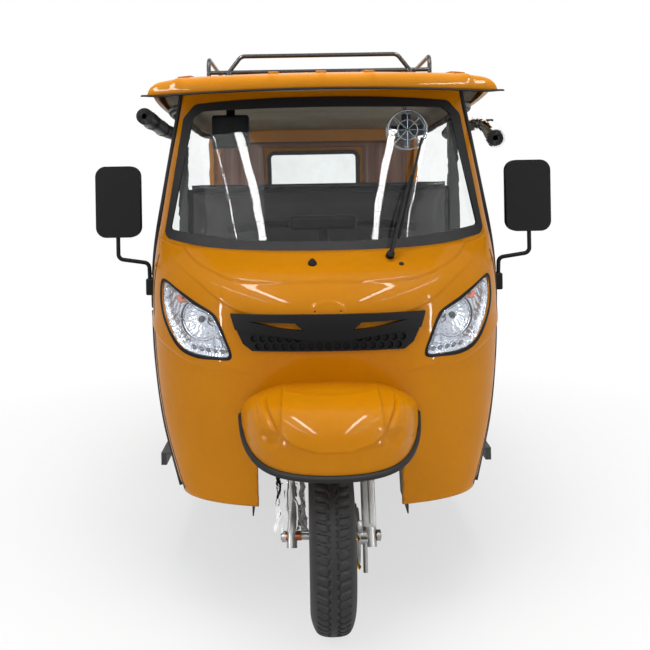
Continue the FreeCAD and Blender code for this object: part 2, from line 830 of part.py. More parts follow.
def handlebar():
    y = steering_y(handlebar_z)
    z = handlebar_z
    bar = tube([(-handlebar_half_width, y + 60, z - 10), (-190, y, z + 6), (190, y, z + 6),
                (handlebar_half_width, y + 60, z - 10)], 11.0, 60)
    grips = []
    for side in (-1, 1):
        start = Vector(side * 215, y + 11, z + 3)
        end = Vector(side * (handlebar_half_width + 8), y + 63, z - 11)
        grips.append(Part.makeCylinder(17.0, (end - start).Length, start, end - start))
    pod = box(-120, 120, y - 70, y + 34, z - 14, z + 36)
    pod = pod.makeFillet(16.0, pod.Edges)
    steering_way = (0, math.sin(rake), math.cos(rake))
    stem_room = cyl(along_steering(handlebar_z - 40), steering_way, stem_radius + fit_gap, 27.4)
    return bar.multiFuse([pod] + grips).cut(stem_room)


def head_tube():
    shape = tube([along_steering(head_tube_bottom_z), along_steering(head_tube_top_z)], 36.0)
    braces = [tube([(side * 20, steering_y(780) + 20, 780), (side * 190, -735, floor_z + 0.2)], 17.0)
              for side in (-1, 1)]
    feet = [box(side * 190 - 40, side * 190 + 40, -775, -695, floor_z, floor_z + 8) for side in (-1, 1)]
    shape = shape.multiFuse(braces + feet).cut(box(-300, 300, -900, -600, floor_z - 60, floor_z))
    middle = tube([along_steering(head_tube_bottom_z + 18), along_steering(head_tube_top_z - 18)],
                  stem_radius + moving_gap)
    bore = tube([along_steering(head_tube_bottom_z - 30), along_steering(head_tube_top_z + 30)],
                stem_radius + fit_gap)
    return shape.cut(middle).cut(bore)


# wheels
tyre_section = [
    (44.0, bead_radius),
    (54.0, bead_radius + 14.0),
    (tyre_half_width, 212.0),
    (62.0, 240.0),
    (50.0, 262.0),
    (24.0, 270.5),
    (0.0, tyre_radius),
]


def wheel_revolve(points, x, y):
    face = Part.Face(polygon([(x + px, y, wheel_z + pr) for px, pr in points]))
    return face.revolve(Vector(x, y, wheel_z), Vector(1, 0, 0), 360)


def tyre(x, y):
    right = tyre_section
    left = [(-px, pr) for px, pr in right[-2::-1]]
    return wheel_revolve(right + left, x, y)


def rim(x, y, hub_radius, dish):
    """Pressed rim, dished disc and hub; dish is the side the disc sits to."""
    well = [
        (-rim_half_width - 5, bead_radius - 1), (-rim_half_width - 5, bead_radius + 12),
        (-rim_half_width - 8, bead_radius + 12), (-rim_half_width - 8, bead_radius - 5),
        (-24, bead_radius - 5), (-20, bead_radius - 23), (20, bead_radius - 23), (24, bead_radius - 5),
        (rim_half_width + 8, bead_radius - 5), (rim_half_width + 8, bead_radius + 12),
        (rim_half_width + 5, bead_radius + 12), (rim_half_width + 5, bead_radius - 1),
        (26, bead_radius - 1), (22, bead_radius - 19), (-22, bead_radius - 19), (-26, bead_radius - 1),
    ]
    disc = [
        (dish - 2, hub_radius), (dish + 2, hub_radius), (dish + 2, 96),
        (dish * 0.5 + 2, bead_radius - 23), (dish * 0.5 - 2, bead_radius - 23), (dish - 2, 96),
    ]
    rim_ring = wheel_revolve(well, x, y)
    plate = wheel_revolve(disc, x, y)
    holes = [cyl((x - 100, y + 112 * math.cos(a), wheel_z + 112 * math.sin(a)), (1, 0, 0), 9.0, 200)
             for a in [math.radians(45 * k) for k in range(8)]]
    return rim_ring.fuse(plate.cut(Part.makeCompound(holes)))


def front_rim():
    shape = rim(0.0, front_axle_y, 30.0, -16.0)
    hub = ring((-62, front_axle_y, wheel_z), (1, 0, 0), 31.0, front_axle_radius + fit_gap, 124.0)
    drum = ring((10, front_axle_y, wheel_z), (1, 0, 0), 92.0, 84.0, 70.0)
    back = ring((10, front_axle_y, wheel_z), (1, 0, 0), 92.0, 30.0, 5.0)
    return shape.multiFuse([hub, drum, back])


def rear_rim(side):
    x = side * rear_track / 2
    shape = rim(x, rear_axle_y, 30.0, 16.0 * side)
    hub = cyl((x - side * 10, rear_axle_y, wheel_z), (side, 0, 0), rear_hub_radius, 40.0)
    bore = cyl((x - side * 12, rear_axle_y, wheel_z), (side, 0, 0), rear_stub_radius + fit_gap, 22.3)
    drum = ring((x - side * 72, rear_axle_y, wheel_z), (side, 0, 0), 96.0, 88.0, 88.0)
    back = cyl((x + side * 11, rear_axle_y, wheel_z), (side, 0, 0), 96.0, 5.0)
    return shape.multiFuse([hub, drum, back]).cut(bore)


# rear body
def plan_outline(inset):
    """Half plan of the rear tub, rounded at the tail corner, extruded upwards."""
    half = body_half_width - inset
    back = rear_outer_y - inset
    bend = corner_radius - inset
    front = side_front_y - 100.0
    edges = [
        Part.makeLine(Vector(half, front, 0), Vector(half, back - bend, 0)),
        Part.Arc(Vector(half, back - bend, 0), Vector(half - bend * (1 - math.cos(math.pi / 4)),
                 back - bend * (1 - math.sin(math.pi / 4)), 0), Vector(half - bend, back, 0)).toShape(),
        Part.makeLine(Vector(half - bend, back, 0), Vector(-half + bend, back, 0)),
        Part.Arc(Vector(-half + bend, back, 0), Vector(-half + bend * (1 - math.cos(math.pi / 4)),
                 back - bend * (1 - math.sin(math.pi / 4)), 0), Vector(-half, back - bend, 0)).toShape(),
        Part.makeLine(Vector(-half, back - bend, 0), Vector(-half, front, 0)),
        Part.makeLine(Vector(-half, front, 0), Vector(half, front, 0)),
    ]
    return Part.Face(Part.Wire(edges))


def tub_wall(z0, z1):
    outer = plan_outline(0.0).extrude(Vector(0, 0, z1 - z0))
    inner = plan_outline(side_wall).extrude(Vector(0, 0, z1 - z0))
    shell = outer.cut(inner)
    shell.translate(Vector(0, 0, z0))
    return shell


split_y = rear_outer_y - corner_radius - 5.0
swage_levels = (700.0, 860.0)


def side_panel():
    """Rear quarter with its wheel arch and two swage lines."""
    wall = tub_wall(340.0, side_top_z).common(box(0, 700, 300, split_y, 300, side_top_z))
    keep = [
        (side_front_y, 340.0),
        (side_front_y, 470.0),
        (side_front_y + 30.0, 640.0),
        (side_front_y + 95.0, 900.0),
        (side_front_y + 170.0, side_top_z),
        (split_y, side_top_z),
        (split_y, 340.0),
    ]
    wall = wall.common(prism_yz(keep, 500.0, 700.0))
    for z in swage_levels:
        section = [(body_half_width + 1, z - 9), (body_half_width + 1, z + 9), (body_half_width - 4, z)]
        groove = prism_xz(section, side_front_y + 190, split_y - 40)
        wall = wall.cut(groove)
    return wall.cut(cyl((500, rear_axle_y, wheel_z), (1, 0, 0), arch_radius, 300.0))


def wheel_tubs():
    x0, x1 = 430.0, body_half_width - side_wall - fit_gap
    outer = cyl((x0, rear_axle_y, wheel_z), (1, 0, 0), arch_radius + 4.0, x1 - x0)
    inner = cyl((x0 + 4, rear_axle_y, wheel_z), (1, 0, 0), arch_radius, x1 - x0)
    hole = box(x0 - 1, x1 + 1, rear_axle_y - 400, rear_axle_y + 400, wheel_z - 400, 345.0)
    right = outer.cut(inner).cut(hole)
    return right, mirrored(right)


def rear_window_prism(grow, y0, y1):
    shape = box(-287 - grow, 287 + grow, y0, y1, 1250 - grow, 1563 + grow)
    edges = [e for e in shape.Edges if abs(e.Vertexes[0].Y - e.Vertexes[1].Y) > 1]
    return shape.makeFillet(45.0 + grow, edges)


def lid_box(grow, y0, y1):
    shape = box(-380 - grow, 380 + grow, y0, y1, 470 - grow, lid_top_z + grow)
    edges = [e for e in shape.Edges if abs(e.Vertexes[0].Y - e.Vertexes[1].Y) > 1]
    return shape.makeFillet(40.0 + grow, edges)


def hinge_rods(radius, length, shift=0.0):
    """Round bars on the lid's hinge line, one a side."""
    y, z = rear_outer_y + hinge_stand, lid_top_z + moving_gap / 2
    return [cyl((side * hinge_x - length / 2 + shift, y, z), (1, 0, 0), radius, length) for side in (-1, 1)]


def rear_wall():
    """Tail sheet with its window, up to the roof, and the hinge pins of the engine lid."""
    lower = tub_wall(340.0, 1646.0).common(box(-700, 700, split_y, 1500, 300, 1700))
    upper = box(-560, 560, rear_outer_y - side_wall, rear_outer_y, 1640, 1760)
    below_roof = roof_underside(roof_skin + fit_gap).fuse(box(-560, 560, 1300, 1500, 1600, roof_edge_z))
    upper = upper.common(below_roof)
    wall = lower.fuse(upper)
    wall = wall.cut(rear_window_prism(0.0, 1300, 1500))
    wall = wall.cut(lid_box(moving_gap, 1300, 1500)).cut(plate_bolts())
    barrel_room = hinge_rods(hinge_barrel_radius + piece_gap, hinge_barrel_length + 2 * piece_gap)
    wall = wall.cut(Part.makeCompound(barrel_room))
    reach = (hinge_barrel_length + hinge_lug_length) / 2 + piece_gap
    lugs = hinge_rods(hinge_barrel_radius, hinge_lug_length, reach)
    lugs += hinge_rods(hinge_barrel_radius, hinge_lug_length, -reach)
    pins = hinge_rods(hinge_pin_radius, hinge_barrel_length + 2 * piece_gap + 2)
    return wall.multiFuse(lugs + pins)


def plate_bolts():
    holes = [cyl((x, 1300, 1040.0), (0, 1, 0), 3.5, 200) for x in (-120.0, 120.0)]
    return Part.makeCompound(holes)


def engine_lid():
    """Lid in the tail with two hinge barrels on its upper edge."""
    lid = lid_box(0.0, rear_outer_y - side_wall, rear_outer_y)
    reach = (hinge_barrel_length + hinge_lug_length) / 2 + piece_gap
    room = hinge_rods(hinge_barrel_radius + piece_gap, hinge_lug_length + 2 * piece_gap, reach)
    room += hinge_rods(hinge_barrel_radius + piece_gap, hinge_lug_length + 2 * piece_gap, -reach)
    barrels = hinge_rods(hinge_barrel_radius, hinge_barrel_length)
    bores = hinge_rods(hinge_pin_radius + fit_gap, hinge_barrel_length + 2)
    lid = lid.cut(Part.makeCompound(room)).multiFuse(barrels).cut(Part.makeCompound(bores))
    slots = [box(x - 110, x + 110, 1300, 1500, z - 5, z + 5) for x in (-160, 160) for z in louvre_levels]
    hoods = []
    for x in (-160, 160):
        for z in louvre_levels:
            inner, outer = rear_outer_y - 2, rear_outer_y + 9
            profile = [(inner, z - 5), (outer, z - 4), (outer, z), (inner, z + 9)]
            inner, outer = rear_outer_y - 3, rear_outer_y + 6
            hollow = [(inner, z - 6), (outer, z - 6), (outer, z - 2), (inner, z + 5)]
            hoods.append(prism_yz(profile, x - 112, x + 112).cut(prism_yz(hollow, x - 109, x + 109)))
    return lid.cut(Part.makeCompound(slots)).multiFuse(hoods)


# chassis
def frame_rails():
    end_y = rear_outer_y - side_wall - fit_gap
    right = box(rail_inner_x, rail_outer_x, -840, end_y, rail_bottom_z, floor_z - 4.0)
    hollow = box(rail_inner_x + 4, rail_outer_x - 4, -850, end_y + 1, rail_bottom_z + 4, floor_z - 8.0)
    right = right.cut(hollow)
    return right, mirrored(right)


def frame_crossmembers():
    half = rail_inner_x - fit_gap
    return [box(-half, half, y, y + 50, 330, floor_z - 4.0) for y in (-700, -100, 480, cradle_y)]


def floor_pan():
    """Cabin floor with pressed ribs, side sills and the two foot wells beside the front wheel."""
    plate = box(-475, 475, -858, -700, floor_z - 4, floor_z)
    middle = box(-600, 600, -700, 566, floor_z - 4, floor_z)
    sills = [box(x - 10, x + 10, -700, side_front_y - 1, 340, floor_z - 4) for x in (-590, 590)]
    wells = [box(side * 360 - 121, side * 360 + 121, -1190, -858, floor_z - 4, floor_z) for side in (-1, 1)]
    cavity = front_cavity(cowl_stations, skin + fit_gap)
    pan = plate.multiFuse([middle] + sills + [well.common(cavity) for well in wells])
    ribs = [box(x - 14, x + 14, -600, 520, floor_z, floor_z + 5) for x in range(-440, 480, 110)]
    seat_area = box(-301, 301, -561, -40, floor_z, floor_z + 9)
    partition_area = box(-640, 640, -66, -38, floor_z, floor_z + 9)
    return pan.multiFuse([rib.cut(seat_area).cut(partition_area) for rib in ribs])


def seat_bases():
    """Driver's seat box, and the rear seat's front panel with the deck over the engine."""
    driver = box(-300, 300, -560, -112, floor_z + 0.3, 640).cut(box(-296, 296, -556, -116, floor_z, 636))
    deck = box(-612, 612, 566.3, rear_outer_y - side_wall - fit_gap, deck_z - 18, deck_z)
    deck = deck.common(plan_outline(side_wall + fit_gap).extrude(Vector(0, 0, 1000)))
    front = box(-600, 600, 566.3, 572, floor_z - 4, deck_z - 18)
    return driver, deck.fuse(front)


def cushion(x0, x1, y0, y1, z0, z1, radius):
    shape = box(x0, x1, y0, y1, z0, z1)
    return shape.makeFillet(radius, shape.Edges)


def rear_seat_cushion():
    return cushion(-600, 600, 548, bench_back_y, deck_z + 0.5, deck_z + 150, bench_round)


def rear_seat_backrest():
    """Leans back from the cushion, its rounded foot against the cushion's back."""
    foot = bench_round * (math.sin(bench_lean) + math.cos(bench_lean) - 1)
    front_y = bench_back_y + fit_gap - foot
    shape = cushion(-600, 600, front_y, front_y + 108, deck_z + 50, deck_z + 640, bench_round)
    shape.rotate(Vector(0, front_y, deck_z + 50), Vector(1, 0, 0), -math.degrees(bench_lean))
    return shape


def driver_seat_cushion():
    return cushion(-300, 300, -575, -115, 640.5, 740, 28)


def driver_seat_backrest():
    return cushion(-576, 576, -110, -61.0, 800, partition_top_z, 18)


def partition_panel():
    half = post_x - post_half - fit_gap
    return box(-half, half, -60.5, -42, floor_z, partition_top_z - 8)


def dashboard():
    """Shelf below the windscreen with a lip towards the driver."""
    profile = [(-1200, 1060), (-1060, 1104), (-960, 1098), (-932, 1066)]
    profile += [(-950, 960), (-972, 960), (-975, 1046)]
    shelf = prism_yz(profile, -520, 520).common(front_cavity(cowl_stations, skin + piece_gap))
    lamp_room = box(480, 530, -1000, -900, 900, 1050)
    return shelf.cut(lamp_room).cut(mirrored(lamp_room))


# rear gear
def engine_block():
    return cushion(-180, 180, drive_y + drive_radius + fit_gap, cradle_y - fit_gap, 300, 590, 20)


def rear_axle():
    """Final drive, half shafts, trailing arms and suspension units."""
    case = cyl((-90, drive_y, wheel_z + 40), (1, 0, 0), drive_radius, 180.0)
    parts = [case]
    for side in (-1, 1):
        parts.append(tube([(side * 380, 560, arm_pivot_z), (side * 400, rear_axle_y, wheel_z)], 24.0))
        parts.append(cyl((side * 372, rear_axle_y, wheel_z), (side, 0, 0), 34.0, 70.0))
        parts.append(cyl((side * 440, rear_axle_y, wheel_z), (side, 0, 0), 82.0, 18.0))
        parts.append(cyl((side * 88, rear_axle_y, wheel_z), (side, 0, 0), 15.0, 300.0))
        parts.append(cyl((side * 458, rear_axle_y, wheel_z), (side, 0, 0), rear_stub_radius, 82.0))
        foot, head = (side * 395, rear_axle_y + 10, wheel_z + 20), (side * 360, rear_axle_y + 30, 590)
        parts.append(tube([foot, head], 30.0))
        parts.append(cyl((side * (rail_outer_x + fit_gap), 560, arm_pivot_z), (side, 0, 0), 20.0, 80.0))
    return parts[0].multiFuse(parts[1:])


def exhaust():
    can = cyl((-330, 1120, 255), (0, 1, 0), 52.0, 250.0)
    pipe = tube([(-330, 1360, 255), (-330, 1400, 255), (-360, 1500, 245)], 16.0, 20)
    head_path = [(-330, 1125, 262), (-330, 1092, 262), (-235, 1092, 285), (-228, 1092, 405)]
    head = tube(head_path + [(-180.3, 1092, 405)], 16.0, 17)
    hanger = box(-324, -296, 1200, 1230, 300, rail_bottom_z - fit_gap)
    return can.multiFuse([pipe, head, hanger])


def rear_bumper():
    start = rear_outer_y + fit_gap
    path = [(-520, start, 430), (-520, tail_y - 20, 430), (520, tail_y - 20, 430), (520, start, 430)]
    return tube(path, 20.0, 45)


def tail_lamps():
    right = cushion(470, 540, rear_outer_y + fit_gap, rear_outer_y + 22, 760, 900, 8)
    return right, mirrored(right)


# cabin fan
fan_centre = (311.0, -700.0, 1542.0)
fan_shaft_radius = 4.0


def fan_guard():
    x, y, z = fan_centre
    hoop = Part.makeTorus(70.0, 3.0, Vector(x, y - 32, z), Vector(0, 1, 0))
    rear_hoop = Part.makeTorus(70.0, 3.0, Vector(x, y + 22, z), Vector(0, 1, 0))
    inner = Part.makeTorus(36.0, 2.0, Vector(x, y - 34, z), Vector(0, 1, 0))
    motor = cyl((x, y + 14, z), (0, 1, 0), 30.0, 50.0)
    shaft = cyl((x, y - 10, z), (0, 1, 0), fan_shaft_radius, 30.0)
    bars = []
    for k in range(8):
        a = math.radians(45 * k)
        edge = (x + 70 * math.cos(a), y - 32, z + 70 * math.sin(a))
        back = (x + 70 * math.cos(a), y + 22, z + 70 * math.sin(a))
        bars.append(tube([(x + 4 * math.cos(a), y - 34, z + 4 * math.sin(a)), edge], 2.0))
        bars.append(tube([edge, back], 2.0))
        bars.append(tube([back, (x + 26 * math.cos(a), y + 22, z + 26 * math.sin(a))], 2.0))
    hanger = tube([(x, y + 40, z + 26), (x, y + 40, 1735)], 8.0)
    shape = hoop.multiFuse([rear_hoop, inner, motor, shaft, hanger] + bars)
    return shape.cut(roof_body(-200.0, roof_skin + fit_gap))


def fan_blades():
    x, y, z = fan_centre
    hub = cyl((x, y - 16, z), (0, 1, 0), 14.0, 24.0)
    bore = cyl((x, y - 11, z), (0, 1, 0), fan_shaft_radius + fit_gap, 30.0)
    blades = []
    for k in range(4):
        blade = box(10, 58, -2, 2, -20, 20)
        blade.rotate(Vector(0, 0, 0), Vector(1, 0, 0), 28)
        blade.rotate(Vector(0, 0, 0), Vector(0, 1, 0), 90 * k)
        blade.translate(Vector(x, y - 4, z))
        blades.append(blade)
    return hub.multiFuse(blades).cut(bore)


os.makedirs("parts", exist_ok=True)

right_panel = side_panel()
left_roll, right_roll = curtain_rolls()

save("front_cowl", front_cowl())
save("windscreen_surround", windscreen_surround())
save("window_glasses", *window_glasses())
save("window_seals", *window_seals())
save("rubber_edging", *rubber_edging())
save("front_mudguard", front_mudguard())
save("wheel_arch_liner", wheel_arch_liner())
save("grille", grille())
save("headlamp_housings", *headlamp_housings())
save("headlamp_lenses", *headlamp_lenses())
save("sun_visor", sun_visor())
save("roof_shell", roof_shell())
save("roof_rack", roof_rack())
save("curtain_roll_left", left_roll)
save("curtain_roll_right", right_roll)
save("body_posts", *body_posts())
save("meter_box", meter_box())
save("mirrors", *mirror_pair())
save("mirror_glasses", *mirror_glasses())
save("wiper", wiper())
save("fork", fork())
save("head_tube", head_tube())
save("handlebar", handlebar())
save("front_tyre", tyre(0.0, front_axle_y))
save("front_rim", front_rim())
save("rear_tyre_right", tyre(rear_track / 2, rear_axle_y))
save("rear_tyre_left", tyre(-rear_track / 2, rear_axle_y))
save("rear_rim_right", rear_rim(1))
save("rear_rim_left", rear_rim(-1))
save("side_panel_right", right_panel)
save("side_panel_left", mirrored(right_panel))
save("wheel_tubs", *wheel_tubs())
save("rear_wall", rear_wall())
save("engine_lid", engine_lid())
save("frame_rails", *frame_rails())
save("frame_crossmembers", *frame_crossmembers())
save("floor_pan", floor_pan())
save("seat_bases", *seat_bases())
save("rear_seat_cushion", rear_seat_cushion())
save("rear_seat_backrest", rear_seat_backrest())
save("driver_seat_cushion", driver_seat_cushion())
save("driver_seat_backrest", driver_seat_backrest())
save("partition_panel", partition_panel())
save("dashboard", dashboard())
save("engine_block", engine_block())
save("rear_axle", rear_axle())
save("exhaust", exhaust())
save("rear_bumper", rear_bumper())
save("tail_lamps", *tail_lamps())
save("fan_guard", fan_guard())
save("fan_blades", fan_blades())
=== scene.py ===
import math

import bmesh
import bpy
from mathutils import Matrix, Vector, noise
from mathutils.geometry import delaunay_2d_cdt
from mathutils.kdtree import KDTree


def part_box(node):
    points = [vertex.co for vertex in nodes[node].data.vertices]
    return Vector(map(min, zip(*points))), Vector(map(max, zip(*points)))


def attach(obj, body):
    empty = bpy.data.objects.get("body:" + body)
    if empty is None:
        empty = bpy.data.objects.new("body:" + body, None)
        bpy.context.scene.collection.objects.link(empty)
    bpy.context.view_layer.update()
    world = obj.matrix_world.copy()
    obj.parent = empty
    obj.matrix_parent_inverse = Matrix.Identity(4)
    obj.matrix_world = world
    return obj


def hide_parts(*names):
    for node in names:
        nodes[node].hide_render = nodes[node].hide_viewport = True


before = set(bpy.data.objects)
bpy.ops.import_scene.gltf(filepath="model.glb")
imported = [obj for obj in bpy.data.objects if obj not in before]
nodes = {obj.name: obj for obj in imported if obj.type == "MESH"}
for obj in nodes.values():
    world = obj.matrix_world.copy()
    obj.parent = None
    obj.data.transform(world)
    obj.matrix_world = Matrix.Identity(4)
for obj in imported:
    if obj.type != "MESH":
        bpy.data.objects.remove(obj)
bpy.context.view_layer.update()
scene = bpy.context.scene
upward = Vector((0, 0, 1))


def nodeBox(name):
    low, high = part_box(name)
    return Vector(low), Vector(high)


# mesh helpers

def dressPiece(piece, finish, body, stands=None):
    mesh = piece.data
    mesh.polygons.foreach_set("use_smooth", [True] * len(mesh.polygons))
    mesh.materials.append(materials[finish])
    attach(piece, body)
    if stands:
        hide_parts(stands)


def makePiece(name, parts, finish, body="body", stands=None, wall=0.0, sharp=0):
    # parts holds verts and faces; wall is a thickness in metres, sharp the angle from which an edge stays hard
    mesh = bpy.data.meshes.new(name)
    mesh.from_pydata([tuple(v) for v in parts[0]], [], parts[1])
    mesh.validate()
    piece = bpy.data.objects.new(name, mesh)
    scene.collection.objects.link(piece)
    dressPiece(piece, finish, body, stands)
    if wall:
        piece.modifiers.new("solidify", "SOLIDIFY").thickness = wall
    if sharp:
        mesh.set_sharp_from_angle(angle=math.radians(sharp))
    return piece


def circle(count):
    return [2 * math.pi * k / count for k in range(count)]


def catmullPoint(a, b, c, d, t):
    return 0.5 * ((2 * b) + (c - a) * t + (2 * a - 5 * b + 4 * c - d) * t * t
                  + (3 * b - a - 3 * c + d) * t * t * t)


def catmull(points, steps):
    # smooth run of points through given ones
    pts = [Vector(p) for p in points]
    pts = [pts[0] * 2 - pts[1]] + pts + [pts[-1] * 2 - pts[-2]]
    out = []
    for run in zip(pts, pts[1:], pts[2:], pts[3:]):
        out += [catmullPoint(*run, k / steps) for k in range(steps)]
    return out + [pts[-2]]


def closedSmooth(points, steps):
    # closed outline with a smooth line through given corners
    pts = [Vector((*p, 0)) for p in points]
    out = []
    for i in range(len(pts)):
        run = [pts[(i + k) % len(pts)] for k in (-1, 0, 1, 2)]
        out += [tuple(catmullPoint(*run, k / steps)[:2]) for k in range(steps)]
    return out


def wholeLine(half):
    # half section up to the middle, then its mirror image
    return half + [Vector((-p.x, p.y, 0)) for p in half[-2::-1]]


def bandFaces(rows, width, ring=False, loop=False):
    # quads between rows of points; ring joins each row's ends, loop joins the last row to the first
    faces = []
    for j in range(rows if loop else rows - 1):
        low, high = j * width, (j + 1) % rows * width
        for i in range(width if ring else width - 1):
            k = (i + 1) % width
            faces.append((low + i, low + k, high + k, high + i))
    return faces


def tubeParts(path, radius, sides=12, closed=False, squash=1.0):
    # round bar along a path; radius may be a number or one per point
    verts = []
    count = len(path)
    for i, p in enumerate(path):
        before = path[i - 1] if i or closed else path[0]
        after = path[(i + 1) % count] if i < count - 1 or closed else path[-1]
        run = (after - before).normalized()
        side = run.cross(upward)
        if side.length < 0.05:
            side = run.cross(Vector((0, 1, 0)))
        side.normalize()
        lift = side.cross(run).normalized()
        r = radius[i] if isinstance(radius, (list, tuple)) else radius
        verts += [p + side * math.cos(a) * r + lift * math.sin(a) * r * squash for a in circle(sides)]
    faces = bandFaces(count, sides, ring=True, loop=closed)
    if not closed:
        faces += [tuple(range(sides))[::-1], tuple(range((count - 1) * sides, count * sides))]
    return verts, faces


def joined(parts):
    verts, faces = [], []
    for v, f in parts:
        base = len(verts)
        verts += list(v)
        faces += [tuple(base + i for i in face) for face in f]
    return verts, faces


def boxParts(low, high):
    x0, y0, z0 = low
    x1, y1, z1 = high
    verts = [Vector(c) for c in ((x0, y0, z0), (x1, y0, z0), (x1, y1, z0), (x0, y1, z0),
                                 (x0, y0, z1), (x1, y0, z1), (x1, y1, z1), (x0, y1, z1))]
    return verts, [(0, 3, 2, 1), (4, 5, 6, 7), (0, 1, 5, 4), (1, 2, 6, 5), (2, 3, 7, 6), (3, 0, 4, 7)]


def gridParts(rows):
    return [v for row in rows for v in row], bandFaces(len(rows), len(rows[0]))


def mirroredParts(parts):
    return [Vector((-v[0], v[1], v[2])) for v in parts[0]], [tuple(reversed(f)) for f in parts[1]]


# camera: the photograph's station, level, with the frame shifted as the picture was cropped
cameraSet = {
    "place": (-0.068, -3.665, 1.350),
    "focalPixels": 815.0,
    "frameSize": 650.0,
    "horizonRow": 185.0,
    "vanishColumn": 303.0,
    "rollDegrees": -0.95,
}


def addCamera(settings):
    data = bpy.data.cameras.new("frontCamera")
    data.sensor_width = 36.0
    data.lens = settings["focalPixels"] / settings["frameSize"] * 36.0
    half = settings["frameSize"] / 2
    data.shift_x = (half - settings["vanishColumn"]) / settings["frameSize"]
    data.shift_y = -(half - settings["horizonRow"]) / settings["frameSize"]
    data.clip_end = 100
    camera = bpy.data.objects.new("frontCamera", data)
    scene.collection.objects.link(camera)
    turn = Matrix.Rotation(math.pi / 2, 4, "X") @ Matrix.Rotation(math.radians(settings["rollDegrees"]), 4, "Z")
    camera.matrix_world = Matrix.Translation(settings["place"]) @ turn
    scene.camera = camera


addCamera(cameraSet)


# shader helpers

def newGroup(name, inputs, outputs):
    group = bpy.data.node_groups.new(name, "ShaderNodeTree")
    for label, kind, value in inputs:
        socket = group.interface.new_socket(label, in_out="INPUT", socket_type=kind)
        if value is not None:
            socket.default_value = value
    for label, kind in outputs:
        group.interface.new_socket(label, in_out="OUTPUT", socket_type=kind)
    return group, group.nodes.new("NodeGroupInput"), group.nodes.new("NodeGroupOutput")


def addNode(tree, kind, **values):
    node = tree.nodes.new(kind)
    for key, value in values.items():
        setattr(node, key, value)
    return node


def mathNode(tree, operation, a, b=None, clamp=False):
    node = addNode(tree, "ShaderNodeMath", operation=operation, use_clamp=clamp)
    for slot, value in zip(node.inputs, (a, b)):
        if value is None:
            continue
        if isinstance(value, (int, float)):
            slot.default_value = value
        else:
            tree.links.new(value, slot)
    return node.outputs[0]


def noiseNode(tree, scale, detail=3.0, rough=0.5, vector=None):
    node = addNode(tree, "ShaderNodeTexNoise")
    if isinstance(scale, (int, float)):
        node.inputs["Scale"].default_value = scale
    else:
        tree.links.new(scale, node.inputs["Scale"])
    node.inputs["Detail"].default_value = detail
    node.inputs["Roughness"].default_value = rough
    if vector is not None:
        tree.links.new(vector, node.inputs["Vector"])
    return node


def rangeNode(tree, value, low, high, toLow=0.0, toHigh=1.0):
    node = addNode(tree, "ShaderNodeMapRange")
    tree.links.new(value, node.inputs["Value"])
    for label, number in (("From Min", low), ("From Max", high), ("To Min", toLow), ("To Max", toHigh)):
        if isinstance(number, (int, float)):
            node.inputs[label].default_value = number
        else:
            tree.links.new(number, node.inputs[label])
    return node.outputs[0]


def mixColour(tree, factor, a, b):
    node = addNode(tree, "ShaderNodeMix", data_type="RGBA")
    for slot, value in ((node.inputs[0], factor), (node.inputs[6], a), (node.inputs[7], b)):
        if isinstance(value, (int, float, tuple)):
            slot.default_value = value
        else:
            tree.links.new(value, slot)
    return node.outputs[2]


# studio: soft lamps that light evenly, and long tubes overhead that show as streaks in glass and paint
lightSet = {
    "worldColour": (0.97, 0.98, 1.0, 1),
    "worldLight": 0.40,
    "aim": (0, -0.8, 0.9),
    "soft": {
        "keyLamp": ((-2.6, -4.6, 3.6), (2.6, 2.6), 60.0),
        "fillLamp": ((3.0, -4.2, 2.4), (2.6, 2.6), 38.0),
        "topLamp": ((0, -0.8, 5.0), (3.0, 4.0), 190.0),
    },
    "tubes": {
        "tubeWideLeft": (-1.55, 0.26, 300.0),
        "tubeWideRight": (1.40, 0.20, 230.0),
        "tubeThinLeft": (-2.7, 0.06, 70.0),
        "tubeThinRight": (2.7, 0.06, 70.0),
    },
    "tubeHeight": 4.2,
    "tubeMiddle": -4.6,
    "tubeLength": 6.0,
    "sides": {"sideTubeLeft": (-3.0, 60.0), "sideTubeRight": (3.0, 60.0)},
}


def addArea(name, place, target, size, power, glossy):
    data = bpy.data.lights.new(name, "AREA")
    data.shape = "RECTANGLE"
    data.size, data.size_y = size
    data.energy = power
    lamp = bpy.data.objects.new(name, data)
    scene.collection.objects.link(lamp)
    lamp.location = place
    lamp.visible_glossy = glossy
    lamp.visible_diffuse = not glossy
    if target is not None:
        lamp.rotation_euler = (Vector(target) - Vector(place)).to_track_quat("-Z", "Y").to_euler()


def shownRays(tree):
    # 1 for what is seen directly, in a reflection or through glass
    path = addNode(tree, "ShaderNodeLightPath")
    seen = mathNode(tree, "MAXIMUM", path.outputs["Is Camera Ray"], path.outputs["Is Transmission Ray"])
    return mathNode(tree, "MAXIMUM", seen, path.outputs["Is Glossy Ray"])


def mixShaders(tree, factor, low, high, out):
    mix = addNode(tree, "ShaderNodeMixShader")
    for source, slot in zip((factor, low, high), mix.inputs):
        tree.links.new(source, slot)
    tree.links.new(mix.outputs[0], out.inputs[0])


